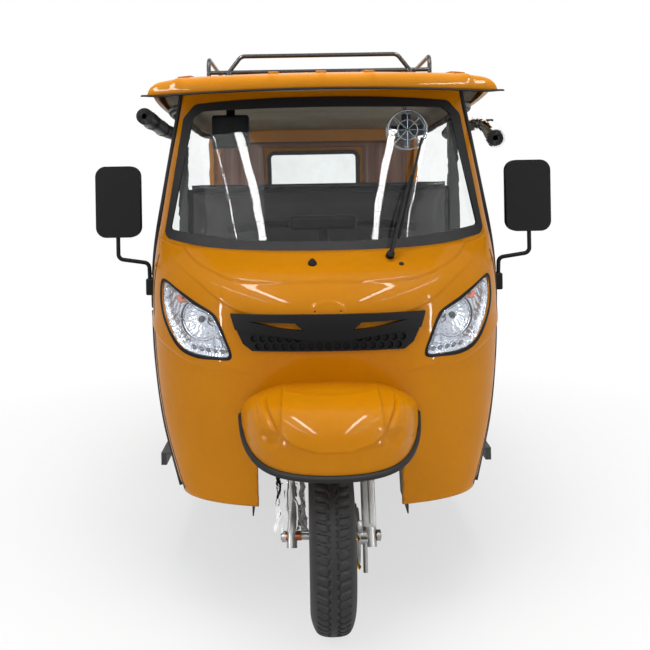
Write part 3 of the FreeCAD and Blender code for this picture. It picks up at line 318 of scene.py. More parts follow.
def buildStudio(settings):
    world = bpy.data.worlds.new("studio")
    scene.world = world
    world.use_nodes = True
    tree = world.node_tree
    tree.nodes.clear()
    shades = []
    for colour, strength in ((settings["worldColour"], settings["worldLight"]), ((1, 1, 1, 1), 1.0)):
        shade = addNode(tree, "ShaderNodeBackground")
        shade.inputs["Color"].default_value = colour
        shade.inputs["Strength"].default_value = strength
        shades.append(shade.outputs[0])
    mixShaders(tree, shownRays(tree), *shades, addNode(tree, "ShaderNodeOutputWorld"))
    for name, (place, size, power) in settings["soft"].items():
        addArea(name, place, settings["aim"], size, power, False)
    for name, (x, width, power) in settings["tubes"].items():
        place = (x, settings["tubeMiddle"], settings["tubeHeight"])
        addArea(name, place, None, (width, settings["tubeLength"]), power, True)
    for name, (x, power) in settings["sides"].items():
        addArea(name, (x, -3.4, 1.3), (0, -1.0, 1.0), (0.10, 2.4), power, True)


buildStudio(lightSet)
scene.view_settings.view_transform = "Standard"
print("studio built")


# shader groups: each is built once and placed in the materials with its own values

def buildDustGroup():
    # road dust that thickens towards the ground and lies on upward faces
    group, inside, out = newGroup(
        "roadDust",
        [("Colour", "NodeSocketColor", (0.5, 0.3, 0.1, 1)), ("Dust Colour", "NodeSocketColor", (0.30, 0.26, 0.21, 1)),
         ("Amount", "NodeSocketFloat", 0.3), ("Height", "NodeSocketFloat", 0.7), ("Scale", "NodeSocketFloat", 9.0)],
        [("Colour", "NodeSocketColor"), ("Mask", "NodeSocketFloat")])
    coords = addNode(group, "ShaderNodeTexCoord")
    split = addNode(group, "ShaderNodeSeparateXYZ")
    group.links.new(coords.outputs["Object"], split.inputs[0])
    cloud = noiseNode(group, inside.outputs["Scale"], 6.0, 0.62, coords.outputs["Object"])
    low = rangeNode(group, split.outputs["Z"], 0.1, inside.outputs["Height"], 1.0, 0.0)
    geometry = addNode(group, "ShaderNodeNewGeometry")
    facing = addNode(group, "ShaderNodeSeparateXYZ")
    group.links.new(geometry.outputs["Normal"], facing.inputs[0])
    up = rangeNode(group, facing.outputs["Z"], 0.2, 1.0, 0.0, 0.35)
    spread = mathNode(group, "ADD", mathNode(group, "MULTIPLY", low, 0.9), up)
    patch = rangeNode(group, cloud.outputs["Fac"], 0.30, 0.72, 0.25, 1.2)
    mask = mathNode(group, "MULTIPLY", mathNode(group, "MULTIPLY", spread, patch), inside.outputs["Amount"], True)
    group.links.new(mixColour(group, mask, inside.outputs["Colour"], inside.outputs["Dust Colour"]),
                    out.inputs["Colour"])
    group.links.new(mask, out.inputs["Mask"])
    return group


def buildToneGroup():
    # slow drift of a colour between two tones with finer mottling
    group, inside, out = newGroup(
        "toneDrift",
        [("Tone A", "NodeSocketColor", (0.5, 0.3, 0.1, 1)), ("Tone B", "NodeSocketColor", (0.4, 0.2, 0.1, 1)),
         ("Scale", "NodeSocketFloat", 4.0), ("Fine Scale", "NodeSocketFloat", 60.0)],
        [("Colour", "NodeSocketColor"), ("Value", "NodeSocketFloat")])
    coords = addNode(group, "ShaderNodeTexCoord")
    broad = noiseNode(group, inside.outputs["Scale"], 4.0, 0.55, coords.outputs["Object"])
    fine = noiseNode(group, inside.outputs["Fine Scale"], 5.0, 0.6, coords.outputs["Object"])
    blend = mathNode(group, "ADD", mathNode(group, "MULTIPLY", broad.outputs["Fac"], 0.65),
                     mathNode(group, "MULTIPLY", fine.outputs["Fac"], 0.35))
    value = rangeNode(group, blend, 0.36, 0.64)
    group.links.new(mixColour(group, value, inside.outputs["Tone A"], inside.outputs["Tone B"]),
                    out.inputs["Colour"])
    group.links.new(value, out.inputs["Value"])
    return group


def buildGrainGroup():
    # fine surface relief: orange peel, moulding grain or leather grain by scale
    group, inside, out = newGroup(
        "surfaceGrain",
        [("Scale", "NodeSocketFloat", 300.0), ("Depth", "NodeSocketFloat", 0.3), ("Cells", "NodeSocketFloat", 0.0)],
        [("Height", "NodeSocketFloat")])
    coords = addNode(group, "ShaderNodeTexCoord")
    grain = noiseNode(group, inside.outputs["Scale"], 2.0, 0.5, coords.outputs["Object"])
    cells = addNode(group, "ShaderNodeTexVoronoi", feature="F1")
    group.links.new(coords.outputs["Object"], cells.inputs["Vector"])
    group.links.new(inside.outputs["Scale"], cells.inputs["Scale"])
    both = mathNode(group, "ADD", grain.outputs["Fac"],
                    mathNode(group, "MULTIPLY", cells.outputs["Distance"], inside.outputs["Cells"]))
    group.links.new(mathNode(group, "MULTIPLY", both, inside.outputs["Depth"]), out.inputs["Height"])
    return group


def buildWearGroup():
    # scuffs and hairline scratches as a mask
    group, inside, out = newGroup(
        "scuffs",
        [("Scale", "NodeSocketFloat", 12.0), ("Amount", "NodeSocketFloat", 0.2)],
        [("Mask", "NodeSocketFloat")])
    coords = addNode(group, "ShaderNodeTexCoord")
    stretch = addNode(group, "ShaderNodeMapping")
    stretch.inputs["Rotation"].default_value = (0.4, 0.7, 0.2)
    stretch.inputs["Scale"].default_value = (1.0, 1.0, 7.0)
    group.links.new(coords.outputs["Object"], stretch.inputs["Vector"])
    lines = noiseNode(group, inside.outputs["Scale"], 8.0, 0.75, stretch.outputs["Vector"])
    thin = rangeNode(group, lines.outputs["Fac"], 0.60, 0.72)
    group.links.new(mathNode(group, "MULTIPLY", thin, inside.outputs["Amount"], True), out.inputs["Mask"])
    return group


groups = {
    "dust": buildDustGroup(),
    "tone": buildToneGroup(),
    "grain": buildGrainGroup(),
    "wear": buildWearGroup(),
}
print("shader groups built")


def placeGroup(tree, key, **values):
    node = tree.nodes.new("ShaderNodeGroup")
    node.node_tree = groups[key]
    for label, value in values.items():
        node.inputs[label.replace("_", " ")].default_value = value
    return node


def finishMaterial(name, toneA, toneB, rough, settings):
    # painted, moulded or bare finish: drifting tone, dust, scuffs and grain on one Principled shader
    s = {"scale": 3.0, "fine": 40.0, "dust": 0.25, "dustHeight": 0.7, "dustColour": (0.30, 0.26, 0.21, 1),
         "wear": 0.1, "wearColour": (0.3, 0.28, 0.25, 1), "grainScale": 260.0, "grain": 0.2, "cells": 0.0,
         "bump": 0.15, "metallic": 0.0, "coat": 0.0, "coatRough": 0.05, "specular": 0.5, "roughSpread": 0.12}
    s.update(settings)
    material = bpy.data.materials.new(name)
    material.use_nodes = True
    tree = material.node_tree
    shader = tree.nodes["Principled BSDF"]
    tone = placeGroup(tree, "tone", Tone_A=rgb(*toneA), Tone_B=rgb(*toneB), Scale=s["scale"], Fine_Scale=s["fine"])
    wear = placeGroup(tree, "wear", Scale=14.0, Amount=s["wear"])
    worn = mixColour(tree, wear.outputs["Mask"], tone.outputs["Colour"], s["wearColour"])
    dust = placeGroup(tree, "dust", Dust_Colour=s["dustColour"], Amount=s["dust"], Height=s["dustHeight"])
    tree.links.new(worn, dust.inputs["Colour"])
    tree.links.new(dust.outputs["Colour"], shader.inputs["Base Color"])
    roughBase = rangeNode(tree, tone.outputs["Value"], 0.0, 1.0, rough - s["roughSpread"] / 2,
                          rough + s["roughSpread"] / 2)
    roughDust = mathNode(tree, "ADD", roughBase, mathNode(tree, "MULTIPLY", dust.outputs["Mask"], 0.45), True)
    tree.links.new(roughDust, shader.inputs["Roughness"])
    shader.inputs["Metallic"].default_value = s["metallic"]
    shader.inputs["Coat Weight"].default_value = s["coat"]
    shader.inputs["Coat Roughness"].default_value = s["coatRough"]
    shader.inputs["Specular IOR Level"].default_value = s["specular"]
    grain = placeGroup(tree, "grain", Scale=s["grainScale"], Depth=s["grain"], Cells=s["cells"])
    bump = addNode(tree, "ShaderNodeBump")
    bump.inputs["Strength"].default_value = s["bump"]
    bump.inputs["Distance"].default_value = 0.001
    tree.links.new(grain.outputs["Height"], bump.inputs["Height"])
    tree.links.new(bump.outputs["Normal"], shader.inputs["Normal"])
    return material


def rgb(red, green, blue):
    # screen colour 0..255 as the linear colour a shader wants
    def linear(value):
        c = value / 255
        return c / 12.92 if c <= 0.04045 else ((c + 0.055) / 1.055) ** 2.4
    return (linear(red), linear(green), linear(blue), 1.0)


def glassMaterial(name, colour, rough=0.0, ior=1.45):
    # clear sheet: mostly seen through, with a real reflection
    material = bpy.data.materials.new(name)
    material.use_nodes = True
    tree = material.node_tree
    shader = tree.nodes["Principled BSDF"]
    tone = placeGroup(tree, "tone", Tone_A=colour, Tone_B=tuple(c * 0.92 for c in colour[:3]) + (1,), Scale=2.0,
                      Fine_Scale=30.0)
    tree.links.new(tone.outputs["Colour"], shader.inputs["Base Color"])
    shader.inputs["Roughness"].default_value = rough
    shader.inputs["IOR"].default_value = ior
    shader.inputs["Transmission Weight"].default_value = 1.0
    return material


# finishes: material name, two tones as screen colours, roughness, and what differs from the common values
finishes = {
    "paint": ("amberPaint", (198, 125, 2), (190, 119, 2), 0.34,
              {"coat": 0.18, "coatRough": 0.02, "specular": 0.03, "dust": 0.01, "wear": 0.0,
               "grainScale": 90.0, "bump": 0.05}),
    "blackPaint": ("blackPaint", (24, 24, 26), (16, 16, 18), 0.45, {"dust": 0.12, "wear": 0.05}),
    "blackPlastic": ("blackPlastic", (15, 15, 17), (10, 10, 12), 0.5,
                     {"dust": 0.05, "wear": 0.0, "specular": 0.12, "grainScale": 500.0, "cells": 0.6, "bump": 0.3}),
    "rubber": ("rubberTrim", (16, 16, 17), (11, 11, 12), 0.62,
               {"dust": 0.06, "wear": 0.0, "bump": 0.25, "specular": 0.25}),
    "tyre": ("tyreRubber", (38, 38, 39), (29, 29, 30), 0.62,
             {"dust": 0.12, "dustHeight": 0.6, "dustColour": rgb(98, 90, 80), "bump": 0.3, "grainScale": 320.0,
              "wear": 0.05, "specular": 0.25}),
    # groove rubber: a darker copy of the tyre rubber, painted shade in the tread's recesses
    "tyreGrooveShade": ("tyreGrooveShade", (16, 16, 17), (10, 10, 11), 0.8, {"dust": 0.05, "wear": 0.0}),
    "wheelPaint": ("wheelPaint", (150, 150, 150), (120, 120, 122), 0.4, {"metallic": 0.6, "dust": 0.5, "wear": 0.25}),
    "forkMetal": ("forkMetal", (172, 172, 172), (140, 140, 138), 0.34,
                  {"metallic": 0.75, "dust": 0.08, "wear": 0.05}),
    "silver": ("brushedSilver", (176, 176, 174), (150, 150, 148), 0.34,
               {"metallic": 0.75, "dust": 0.06, "wear": 0.0, "grain": 0.4}),
    "copper": ("axleCopper", (150, 86, 50), (120, 64, 36), 0.38, {"metallic": 0.8, "dust": 0.05}),
    "brass": ("boltBrass", (196, 150, 60), (170, 126, 44), 0.30, {"metallic": 0.85, "dust": 0.0}),
    "rackTube": ("rackTube", (28, 28, 30), (18, 18, 20), 0.28, {"coat": 0.3, "dust": 0.15}),
    "chrome": ("lampChrome", (222, 224, 228), (205, 208, 214), 0.12,
               {"metallic": 1.0, "dust": 0.0, "wear": 0.0, "grain": 0.4, "grainScale": 220.0, "bump": 0.25,
                "roughSpread": 0.04}),
    "amberLens": ("amberLens", (214, 96, 20), (186, 74, 12), 0.12, {"coat": 0.6, "dust": 0.0, "wear": 0.0}),
    "bulb": ("bulbGlass", (86, 84, 86), (46, 44, 46), 0.08, {"metallic": 0.6, "coat": 0.8, "dust": 0.0, "wear": 0.0}),
    "smallLamp": ("smallLamp", (120, 122, 126), (84, 86, 90), 0.10,
                  {"metallic": 0.5, "coat": 0.8, "dust": 0.0, "wear": 0.0}),
    "tailLens": ("tailLens", (150, 12, 10), (110, 6, 6), 0.15, {"coat": 0.5, "dust": 0.2}),
    "mirror": ("mirrorGlass", (205, 212, 216), (195, 202, 206), 0.03,
               {"metallic": 1.0, "dust": 0.05, "wear": 0.0, "roughSpread": 0.01, "grain": 0.0}),
    "seat": ("seatCover", (36, 34, 34), (27, 25, 25), 0.42,
             {"dust": 0.05, "specular": 0.3, "grainScale": 420.0, "cells": 0.8, "bump": 0.4}),
    "cloth": ("curtainCloth", (36, 36, 38), (24, 24, 26), 0.5, {"dust": 0.3, "bump": 0.4}),
    "headliner": ("headliner", (160, 150, 132), (140, 130, 112), 0.8, {"dust": 0.2}),
    # brown for the rear wall inside the cab: a darker copy of the amber paint, painted shade
    "lining": ("wallLiningShade", (122, 66, 28), (106, 56, 24), 0.45, {"dust": 0.15}),
    "engine": ("engineMetal", (120, 120, 120), (80, 78, 76), 0.5, {"metallic": 0.7, "dust": 0.6, "wear": 0.2}),
    "fanWire": ("fanWire", (190, 196, 202), (160, 166, 172), 0.22, {"metallic": 1.0, "dust": 0.1, "wear": 0.0}),
    "fanBlade": ("fanBlade", (40, 50, 70), (30, 40, 58), 0.3, {"dust": 0.2}),
}
materials = {key: finishMaterial(*values) for key, values in finishes.items()}
materials["glass"] = glassMaterial("screenGlass", (0.94, 0.965, 0.96, 1), ior=1.26)
materials["lampLens"] = glassMaterial("lampLens", (0.95, 0.97, 1.0, 1))
materials["film"] = glassMaterial("clearFilm", (0.98, 0.98, 0.98, 1), 0.08, ior=1.2)
print("materials built")

nodeFinish = {
    "paint": ["front_cowl", "windscreen_surround", "front_mudguard", "roof_shell", "side_panel_right",
              "side_panel_left", "rear_wall", "engine_lid"],
    "glass": ["window_glasses"],
    "lampLens": ["headlamp_lenses"],
    "rubber": ["window_seals", "rubber_edging"],
    "blackPlastic": ["wheel_arch_liner", "grille", "headlamp_housings", "sun_visor", "meter_box", "mirrors",
                     "handlebar", "dashboard", "partition_panel"],
    "rackTube": ["roof_rack", "rear_bumper"],
    "cloth": ["curtain_roll_left", "curtain_roll_right"],
    "blackPaint": ["body_posts", "wiper", "head_tube", "wheel_tubs", "frame_rails", "frame_crossmembers",
                   "floor_pan", "seat_bases"],
    "mirror": ["mirror_glasses"],
    "forkMetal": ["fork"],
    "tyre": ["front_tyre", "rear_tyre_right", "rear_tyre_left"],
    "wheelPaint": ["front_rim", "rear_rim_right", "rear_rim_left"],
    "seat": ["rear_seat_cushion", "rear_seat_backrest", "driver_seat_cushion", "driver_seat_backrest"],
    "engine": ["engine_block", "rear_axle", "exhaust"],
    "tailLens": ["tail_lamps"],
    "fanWire": ["fan_guard"],
    "fanBlade": ["fan_blades"],
}
for key, names in nodeFinish.items():
    for name in names:
        data = nodes[name].data
        data.materials.clear()
        data.materials.append(materials[key])
print("frame finished")


# front sheet: station values as the frame's cowl has them, in millimetres
cowlSet = {
    "stations": [(374, -1205, 0.0, 476, -992), (560, -1216, 0.0, 543, -900), (753, -1232, 0.0, 579, -840),
                 (905, -1245, 0.0, 590, -815), (985, -1238, 0.02, 591, -815), (1062, -1190, 0.10, 585, -815),
                 (1132, -1065, 0.27, 572, -815)],
    "fullness": 2.4,
    "roundness": 2.1,
    "thickness": 0.008,
    "archOutline": [(220, 360), (220, 560), (238, 640), (150, 700)],
    "lampOutline": [(530, 1056), (468, 1030), (404, 997), (350, 968), (330, 945), (308, 893), (290, 828), (346, 820),
                    (404, 820), (453, 834), (491, 866), (520, 910), (537, 960), (541, 1010)],
    "lampMiddle": (440, 930),
    "lampRim": 13.0,
    "bonnetLine": [(0, 1054), (240, 1054), (300, 1062), (360, 1084), (446, 1134), (470, 1160)],
    "bonnetRaise": 6.0,
    "browRaise": 3.5,
    "cheekRaise": 4.0,
    "badgeRaise": 2.0,
    "hemDepth": 2.0,
    "seamDepth": 2.6,
    "seamInset": 26.0,
    "browLine": [(590, 1180), (504, 1116), (400, 1050), (279, 975), (200, 958), (100, 955)],
    "cheekLine": [(600, 905), (560, 870), (500, 838), (440, 812), (338, 795), (198, 783), (0, 778)],
}


def splineThrough(xs, ys):
    # natural cubic spline through the given values, returned as a function
    n = len(xs)
    h = [xs[i + 1] - xs[i] for i in range(n - 1)]
    alpha = [0.0] * n
    for i in range(1, n - 1):
        alpha[i] = 3 * ((ys[i + 1] - ys[i]) / h[i] - (ys[i] - ys[i - 1]) / h[i - 1])
    low, mu, z = [1.0] * n, [0.0] * n, [0.0] * n
    for i in range(1, n - 1):
        low[i] = 2 * (xs[i + 1] - xs[i - 1]) - h[i - 1] * mu[i - 1]
        mu[i] = h[i] / low[i]
        z[i] = (alpha[i] - h[i - 1] * z[i - 1]) / low[i]
    c, b, d = [0.0] * n, [0.0] * n, [0.0] * n
    for i in range(n - 2, -1, -1):
        c[i] = z[i] - mu[i] * c[i + 1]
        b[i] = (ys[i + 1] - ys[i]) / h[i] - h[i] * (c[i + 1] + 2 * c[i]) / 3
        d[i] = (c[i + 1] - c[i]) / (3 * h[i])

    def value(x):
        k = 0
        while k < n - 2 and x > xs[k + 1]:
            k += 1
        t = x - xs[k]
        return ys[k] + t * (b[k] + t * (c[k] + t * d[k]))
    return value


def smoothStep(value, low, high):
    t = min(max((value - low) / (high - low), 0.0), 1.0)
    return t * t * (3 - 2 * t)


def lineHeight(points):
    # height of a given line at a distance from the middle
    ordered = sorted(points)
    curve = splineThrough([p[0] for p in ordered], [p[1] for p in ordered])
    low, high = ordered[0][0], ordered[-1][0]
    return lambda x: curve(min(max(x, low), high))


def buildCowlCurves(settings):
    rows = settings["stations"]
    heights = [r[0] for r in rows]
    return [splineThrough(heights, [r[k] for r in rows]) for k in range(1, 5)]


cowlMid, cowlSlope, cowlHalf, cowlEdge = buildCowlCurves(cowlSet)


def cowlPoint(angle, level):
    # angle 0 at the right door edge, pi at the left one; level is the middle's height in millimetres
    mid, slope, half, edge = cowlMid(level), cowlSlope(level), cowlHalf(level), cowlEdge(level)
    c, s = math.cos(angle), max(math.sin(angle), 0.0)
    x = math.copysign(half * abs(c) ** (2 / cowlSet["fullness"]), c)
    y = edge - (edge - mid) * s ** (2 / cowlSet["roundness"])
    return Vector((x, y, level + (y - mid) * slope))


def cowlNormal(angle, level):
    a = min(max(angle, 0.02), math.pi - 0.02)
    across = cowlPoint(a + 0.01, level) - cowlPoint(a - 0.01, level)
    along = cowlPoint(a, level + 2) - cowlPoint(a, level - 2)
    return along.cross(across).normalized()


def cowlPlace(x, z):
    # angle and level of the sheet's point that stands at x, z in the front view
    level = z
    for step in range(12):
        level = min(max(level, 360.0), 1150.0)
        ratio = min(abs(x) / cowlHalf(level), 1.0)
        angle = math.acos(ratio ** (cowlSet["fullness"] / 2))
        y = cowlEdge(level) - (cowlEdge(level) - cowlMid(level)) * math.sin(angle) ** (2 / cowlSet["roundness"])
        level += (z - (level + (y - cowlMid(level)) * cowlSlope(level))) * 0.8
    return (angle if x >= 0 else math.pi - angle), level


def cowlSurface(x, z, lift=0.0):
    # point of the sheet at x, z of the front view, lifted outwards, in metres
    angle, level = cowlPlace(x, z)
    return (cowlPoint(angle, level) + cowlNormal(angle, level) * lift) / 1000


bonnetHeight = lineHeight(cowlSet["bonnetLine"])
browHeight = lineHeight(cowlSet["browLine"])
cheekHeight = lineHeight(cowlSet["cheekLine"])


def cowlRelief(x, z, fromEdge):
    # pressed forms of the front sheet, outwards in millimetres
    s = cowlSet
    w = abs(x)
    band = smoothStep(z - browHeight(w), -3, 6) * s["browRaise"]
    bonnet = smoothStep(z - bonnetHeight(w), -4, 3) * s["bonnetRaise"] if w < 470 else 0.0
    cheek = z - cheekHeight(w)
    ridge = smoothStep(cheek, -5, 4) * (1 - smoothStep(cheek, 8, 60)) * smoothStep(w, 190, 320) * s["cheekRaise"]
    seat = math.hypot(w / 56.0, max(z - 968, 0) / 36.0)
    badge = (1 - smoothStep(seat, 0.93, 1.05)) * s["badgeRaise"] if 960 < z < 1012 else 0.0
    hem = -s["hemDepth"] * (1 - smoothStep(z, 392, 399))
    seam = -s["seamDepth"] * math.exp(-((fromEdge - s["seamInset"]) / 3.2) ** 2)
    blend = 1 - smoothStep(z, 1100, 1160) * smoothStep(w, 440, 480)
    return (band + bonnet) * blend + ridge + badge + hem + seam


def pointInside(p, loop):
    hit = False
    for (x0, y0), (x1, y1) in zip(loop, loop[1:] + loop[:1]):
        if (y0 > p[1]) != (y1 > p[1]) and p[0] < (x1 - x0) * (p[1] - y0) / (y1 - y0) + x0:
            hit = not hit
    return hit


def nearTree(points):
    tree = KDTree(len(points))
    for i, p in enumerate(points):
        tree.insert((p[0], p[1], 0), i)
    tree.balance()
    return tree


def faceMiddle(made, face):
    return sum(made[i][0] for i in face) / 3, sum(made[i][1] for i in face) / 3


def cutSheet(outer, holes, lattice, gap, notch=None):
    # triangles over a flat outline with holes, keeping the outlines' points exactly
    points, edges = [], []
    for loop in [outer] + holes:
        base = len(points)
        points += loop
        edges += [(base + i, base + (i + 1) % len(loop)) for i in range(len(loop))]
    near = nearTree(points)
    points += [p for p in lattice if near.find((p[0], p[1], 0))[2] > gap]
    made, madeEdges, faces = delaunay_2d_cdt([Vector(p) for p in points], edges, [], 0, 1e-4)[:3]
    boxes = []
    for loop in holes + ([notch] if notch else []):
        xs, ys = zip(*loop)
        boxes.append((min(xs), max(xs), min(ys), max(ys), loop))
    kept = []
    for face in faces:
        x, y = faceMiddle(made, face)
        if not any(b[0] < x < b[1] and b[2] < y < b[3] and pointInside((x, y), b[4]) for b in boxes):
            kept.append(tuple(face))
    return made, kept


def spaced(points, step):
    # open line with extra points so that none is further than step from the next; the last one is left out
    out = []
    for a, b in zip(points, points[1:]):
        count = max(1, math.ceil(math.hypot(b[0] - a[0], b[1] - a[1]) / step))
        out += [(a[0] + (b[0] - a[0]) * k / count, a[1] + (b[1] - a[1]) * k / count) for k in range(count)]
    return out


def lampLoop(shrink, steps=8):
    # headlamp outline of the right side, pulled in by an even step
    cx, cz = cowlSet["lampMiddle"]
    pulled = []
    for x, z in cowlSet["lampOutline"]:
        length = math.hypot(x - cx, z - cz)
        scale = (length - shrink) / length
        pulled.append((cx + (x - cx) * scale, cz + (z - cz) * scale))
    return closedSmooth(pulled, steps)


cowlDetail = {"fine": 3.2, "coarseEvery": 3, "archStep": 6.0, "outerStep": 7.0, "clear": 2.0, "badgeHole": 2.5}


def cowlFlat():
    # rolls the sheet out: functions between its angle and the distance along its girth
    steps = 400
    arc = [0.0]
    for k in range(steps):
        a, b = cowlPoint(math.pi * k / steps, 900), cowlPoint(math.pi * (k + 1) / steps, 900)
        arc.append(arc[-1] + (b - a).length)
    half = arc[-1] / 2

    def toFlat(angle, level):
        k = min(max(angle / math.pi * steps, 0), steps - 1e-6)
        i = int(k)
        return (half - (arc[i] + (arc[i + 1] - arc[i]) * (k - i)), level)

    def toAngle(flatX):
        run = min(max(half - flatX, 0), arc[-1])
        low, high = 0, steps
        while high - low > 1:
            middle = (low + high) // 2
            low, high = (middle, high) if arc[middle] <= run else (low, middle)
        return (low + (run - arc[low]) / (arc[low + 1] - arc[low])) * math.pi / steps

    return toFlat, toAngle, half


def nearCrease(x, z, fromEdge):
    w = abs(x)
    if abs(z - browHeight(w)) < 11 or fromEdge < 34 and fromEdge > 18:
        return True
    if w < 470 and abs(z - bonnetHeight(w)) < 8:
        return True
    if w > 170 and -9 < z - cheekHeight(w) < 12:
        return True
    return 955 < z < 1008 and w < 62


def buildCowl():
    s, d = cowlSet, cowlDetail
    bottom, top = s["stations"][0][0], s["stations"][-1][0]
    toFlat, toAngle, half = cowlFlat()
    arch = [(-x, z) for x, z in s["archOutline"]] + s["archOutline"][::-1]
    arch[0], arch[-1] = (arch[0][0], bottom), (arch[-1][0], bottom)
    archFlat = [toFlat(*cowlPlace(*p)) for p in spaced(arch, d["archStep"]) + [arch[-1]]]
    archFlat[0], archFlat[-1] = (archFlat[0][0], bottom), (archFlat[-1][0], bottom)
    corners = [(-half, bottom)] + archFlat + [(half, bottom), (half, top), (-half, top)]
    outer = spaced(corners + corners[:1], d["outerStep"])
    lamp = [toFlat(*cowlPlace(x, z)) for x, z in lampLoop(s["lampRim"])]
    holes = [lamp, [(-x, z) for x, z in lamp]]
    r = d["badgeHole"]
    for x in (-39, 39):
        holes.append([toFlat(*cowlPlace(x + r * math.cos(a), 972 + r * math.sin(a))) for a in circle(10)])
    lattice = []
    fine = d["fine"]
    for j in range(1, int((top - bottom) / fine)):
        for i in range(1, int(2 * half / fine)):
            flatX, level = -half + i * fine, bottom + j * fine
            coarse = i % d["coarseEvery"] == 0 and j % d["coarseEvery"] == 0
            p = None if coarse else cowlPoint(toAngle(flatX), level)
            if coarse or nearCrease(p.x, p.z, half - abs(flatX)):
                lattice.append((flatX, level))
    made, kept = cutSheet(outer, holes, lattice, d["clear"], archFlat)
    verts = []
    for flatX, level in made:
        angle = toAngle(flatX)
        p = cowlPoint(angle, level)
        verts.append((p + cowlNormal(angle, level) * cowlRelief(p.x, p.z, half - abs(flatX))) / 1000)
    return compact(verts, kept)


def compact(verts, faces):
    # drops points that no face uses
    used = sorted({i for face in faces for i in face})
    place = {old: new for new, old in enumerate(used)}
    return [verts[i] for i in used], [tuple(place[i] for i in face) for face in faces]


makePiece("frontSheet", buildCowl(), "paint", stands="front_cowl", wall=cowlSet["thickness"])
print("front sheet built")


# front mudguard: outline tables as the frame has them, in millimetres, and the pressed forms seen from the front
guardSet = {
    "lip": [(0, -1511, 575), (80, -1502, 576), (160, -1462, 580), (214, -1395, 593), (248, -1310, 620),
            (266, -1196, 659)],
    "joint": [(0, -1222, 763), (80, -1222, 760), (150, -1219, 753), (206, -1215, 733), (246, -1208, 705),
              (264, -1196, 675)],
    "profile": [(1.0, 0.0), (1.01, 0.14), (1.015, 0.34), (0.985, 0.60), (0.87, 0.81), (0.58, 0.935), (0.27, 0.98),
                (0.0, 1.0)],
    "columns": 221,
    "rows": 111,
    "thickness": 0.004,
    "panelHalf": 134.0,
    "panelRaise": 12.0,
    "panelLow": [(128, 676), (104, 660), (44, 645)],
    "grooveTop": (186, 738),
    "grooveFoot": (148, 676),
    "scoop": (170, 662),
    "scoopSize": (32, 30),
    "scoopDepth": 11.0,
    "grooveDepth": 8.0,
    "foremost": -1526.0,
}


def curveThrough(points):
    # smooth curve through points by their distance along it, t from 0 to 1
    run = [0.0]
    for a, b in zip(points, points[1:]):
        run.append(run[-1] + (Vector(b) - Vector(a)).length)
    curves = [splineThrough(run, [p[k] for p in points]) for k in range(len(points[0]))]
    return lambda t: Vector([c(t * run[-1]) for c in curves])


def mirrorTable(table):
    return [(-x, y, z) for x, y, z in table[:0:-1]] + table


guardLow = curveThrough(mirrorTable(guardSet["lip"]))
guardHigh = curveThrough(mirrorTable(guardSet["joint"]))
guardSide = curveThrough([(h, g, 0) for h, g in guardSet["profile"]])


def guardPoint(u, v):
    # u from -1 to 1 across, v from the lip to the joint with the front sheet
    low, high, side = guardLow((u + 1) / 2), guardHigh((u + 1) / 2), guardSide(v)
    return Vector((high.x + (low.x - high.x) * side.x, high.y + (low.y - high.y) * side.x,
                   low.z + (high.z - low.z) * side.y))


def lineSide(x, z, a, b):
    # distance from the line a-b, positive above it
    run = Vector((b[0] - a[0], b[1] - a[1])).normalized()
    away = (z - a[1]) * run.x - (x - a[0]) * run.y
    return away if run.x > 0 else -away


def segmentNear(x, z, a, b):
    dx, dz = b[0] - a[0], b[1] - a[1]
    t = min(max(((x - a[0]) * dx + (z - a[1]) * dz) / (dx * dx + dz * dz), 0), 1)
    return math.hypot(x - a[0] - dx * t, z - a[1] - dz * t), t


def guardRelief(x, z, v):
    g = guardSet
    w = abs(x)
    inside = min(g["panelHalf"] + (z - 700) * 0.05 - w, 752 - z)
    low = g["panelLow"]
    for a, b in zip(low, low[1:]):
        inside = min(inside, lineSide(w, z, a, b))
    inside = min(inside, z - low[-1][1])
    panel = smoothStep(inside, -5, 3) * g["panelRaise"]
    edge = 1.2 * math.exp(-((inside - 1) / 3.0) ** 2) if inside > -12 else 0.0
    away, t = segmentNear(w, z, g["grooveTop"], g["grooveFoot"])
    groove = -g["grooveDepth"] * math.exp(-(away / (3.5 + 4.5 * t)) ** 2)
    hood = -3.0 * math.exp(-(segmentNear(w, z, (212, 722), (200, 690))[0] / 4.0) ** 2)
    sx, sz = g["scoop"]
    r = math.hypot((w - sx) / g["scoopSize"][0], (z - sz) / g["scoopSize"][1])
    scoop = -g["scoopDepth"] * (1 - smoothStep(r, 0.35, 1.0)) * smoothStep(sz + 26 - z, -1, 7)
    shoulder = 1.5 * smoothStep(z - 640, -5, 5) * smoothStep(w, 60, 140)
    return (panel + edge + groove + hood + scoop + shoulder) * smoothStep(1 - v, 0.0, 0.12)


def buildGuard():
    g = guardSet
    rows = []
    for j in range(g["rows"]):
        v = j / (g["rows"] - 1)
        row = []
        for i in range(g["columns"]):
            u = -1 + 2 * i / (g["columns"] - 1)
            p = guardPoint(u, v)
            across = guardPoint(min(u + 0.01, 1), v) - guardPoint(max(u - 0.01, -1), v)
            along = guardPoint(u, min(v + 0.01, 1)) - guardPoint(u, max(v - 0.01, 0))
            normal = across.cross(along).normalized()
            p = p + normal * guardRelief(p.x, p.z, v)
            row.append(Vector((p.x, max(p.y, g["foremost"]), p.z)) / 1000)
        rows.append(row)
    return gridParts(rows)


makePiece("frontGuard", buildGuard(), "paint", stands="front_mudguard", wall=guardSet["thickness"])
print("mudguard built")


# rubber trims: the mudguard's lip and the door edges, which run on beside the windscreen
trimSet = {
    "radius": 0.0085,
    "screen": [(1300, -1007, 0.17, 547), (1480, -945, 0.08, 517), (1652, -885, 0.0, 486), (1672, -878, 0.0, 483)],
    "screenEdge": -815,
    "outwards": 5.5,
    "forwards": 4.5,
}


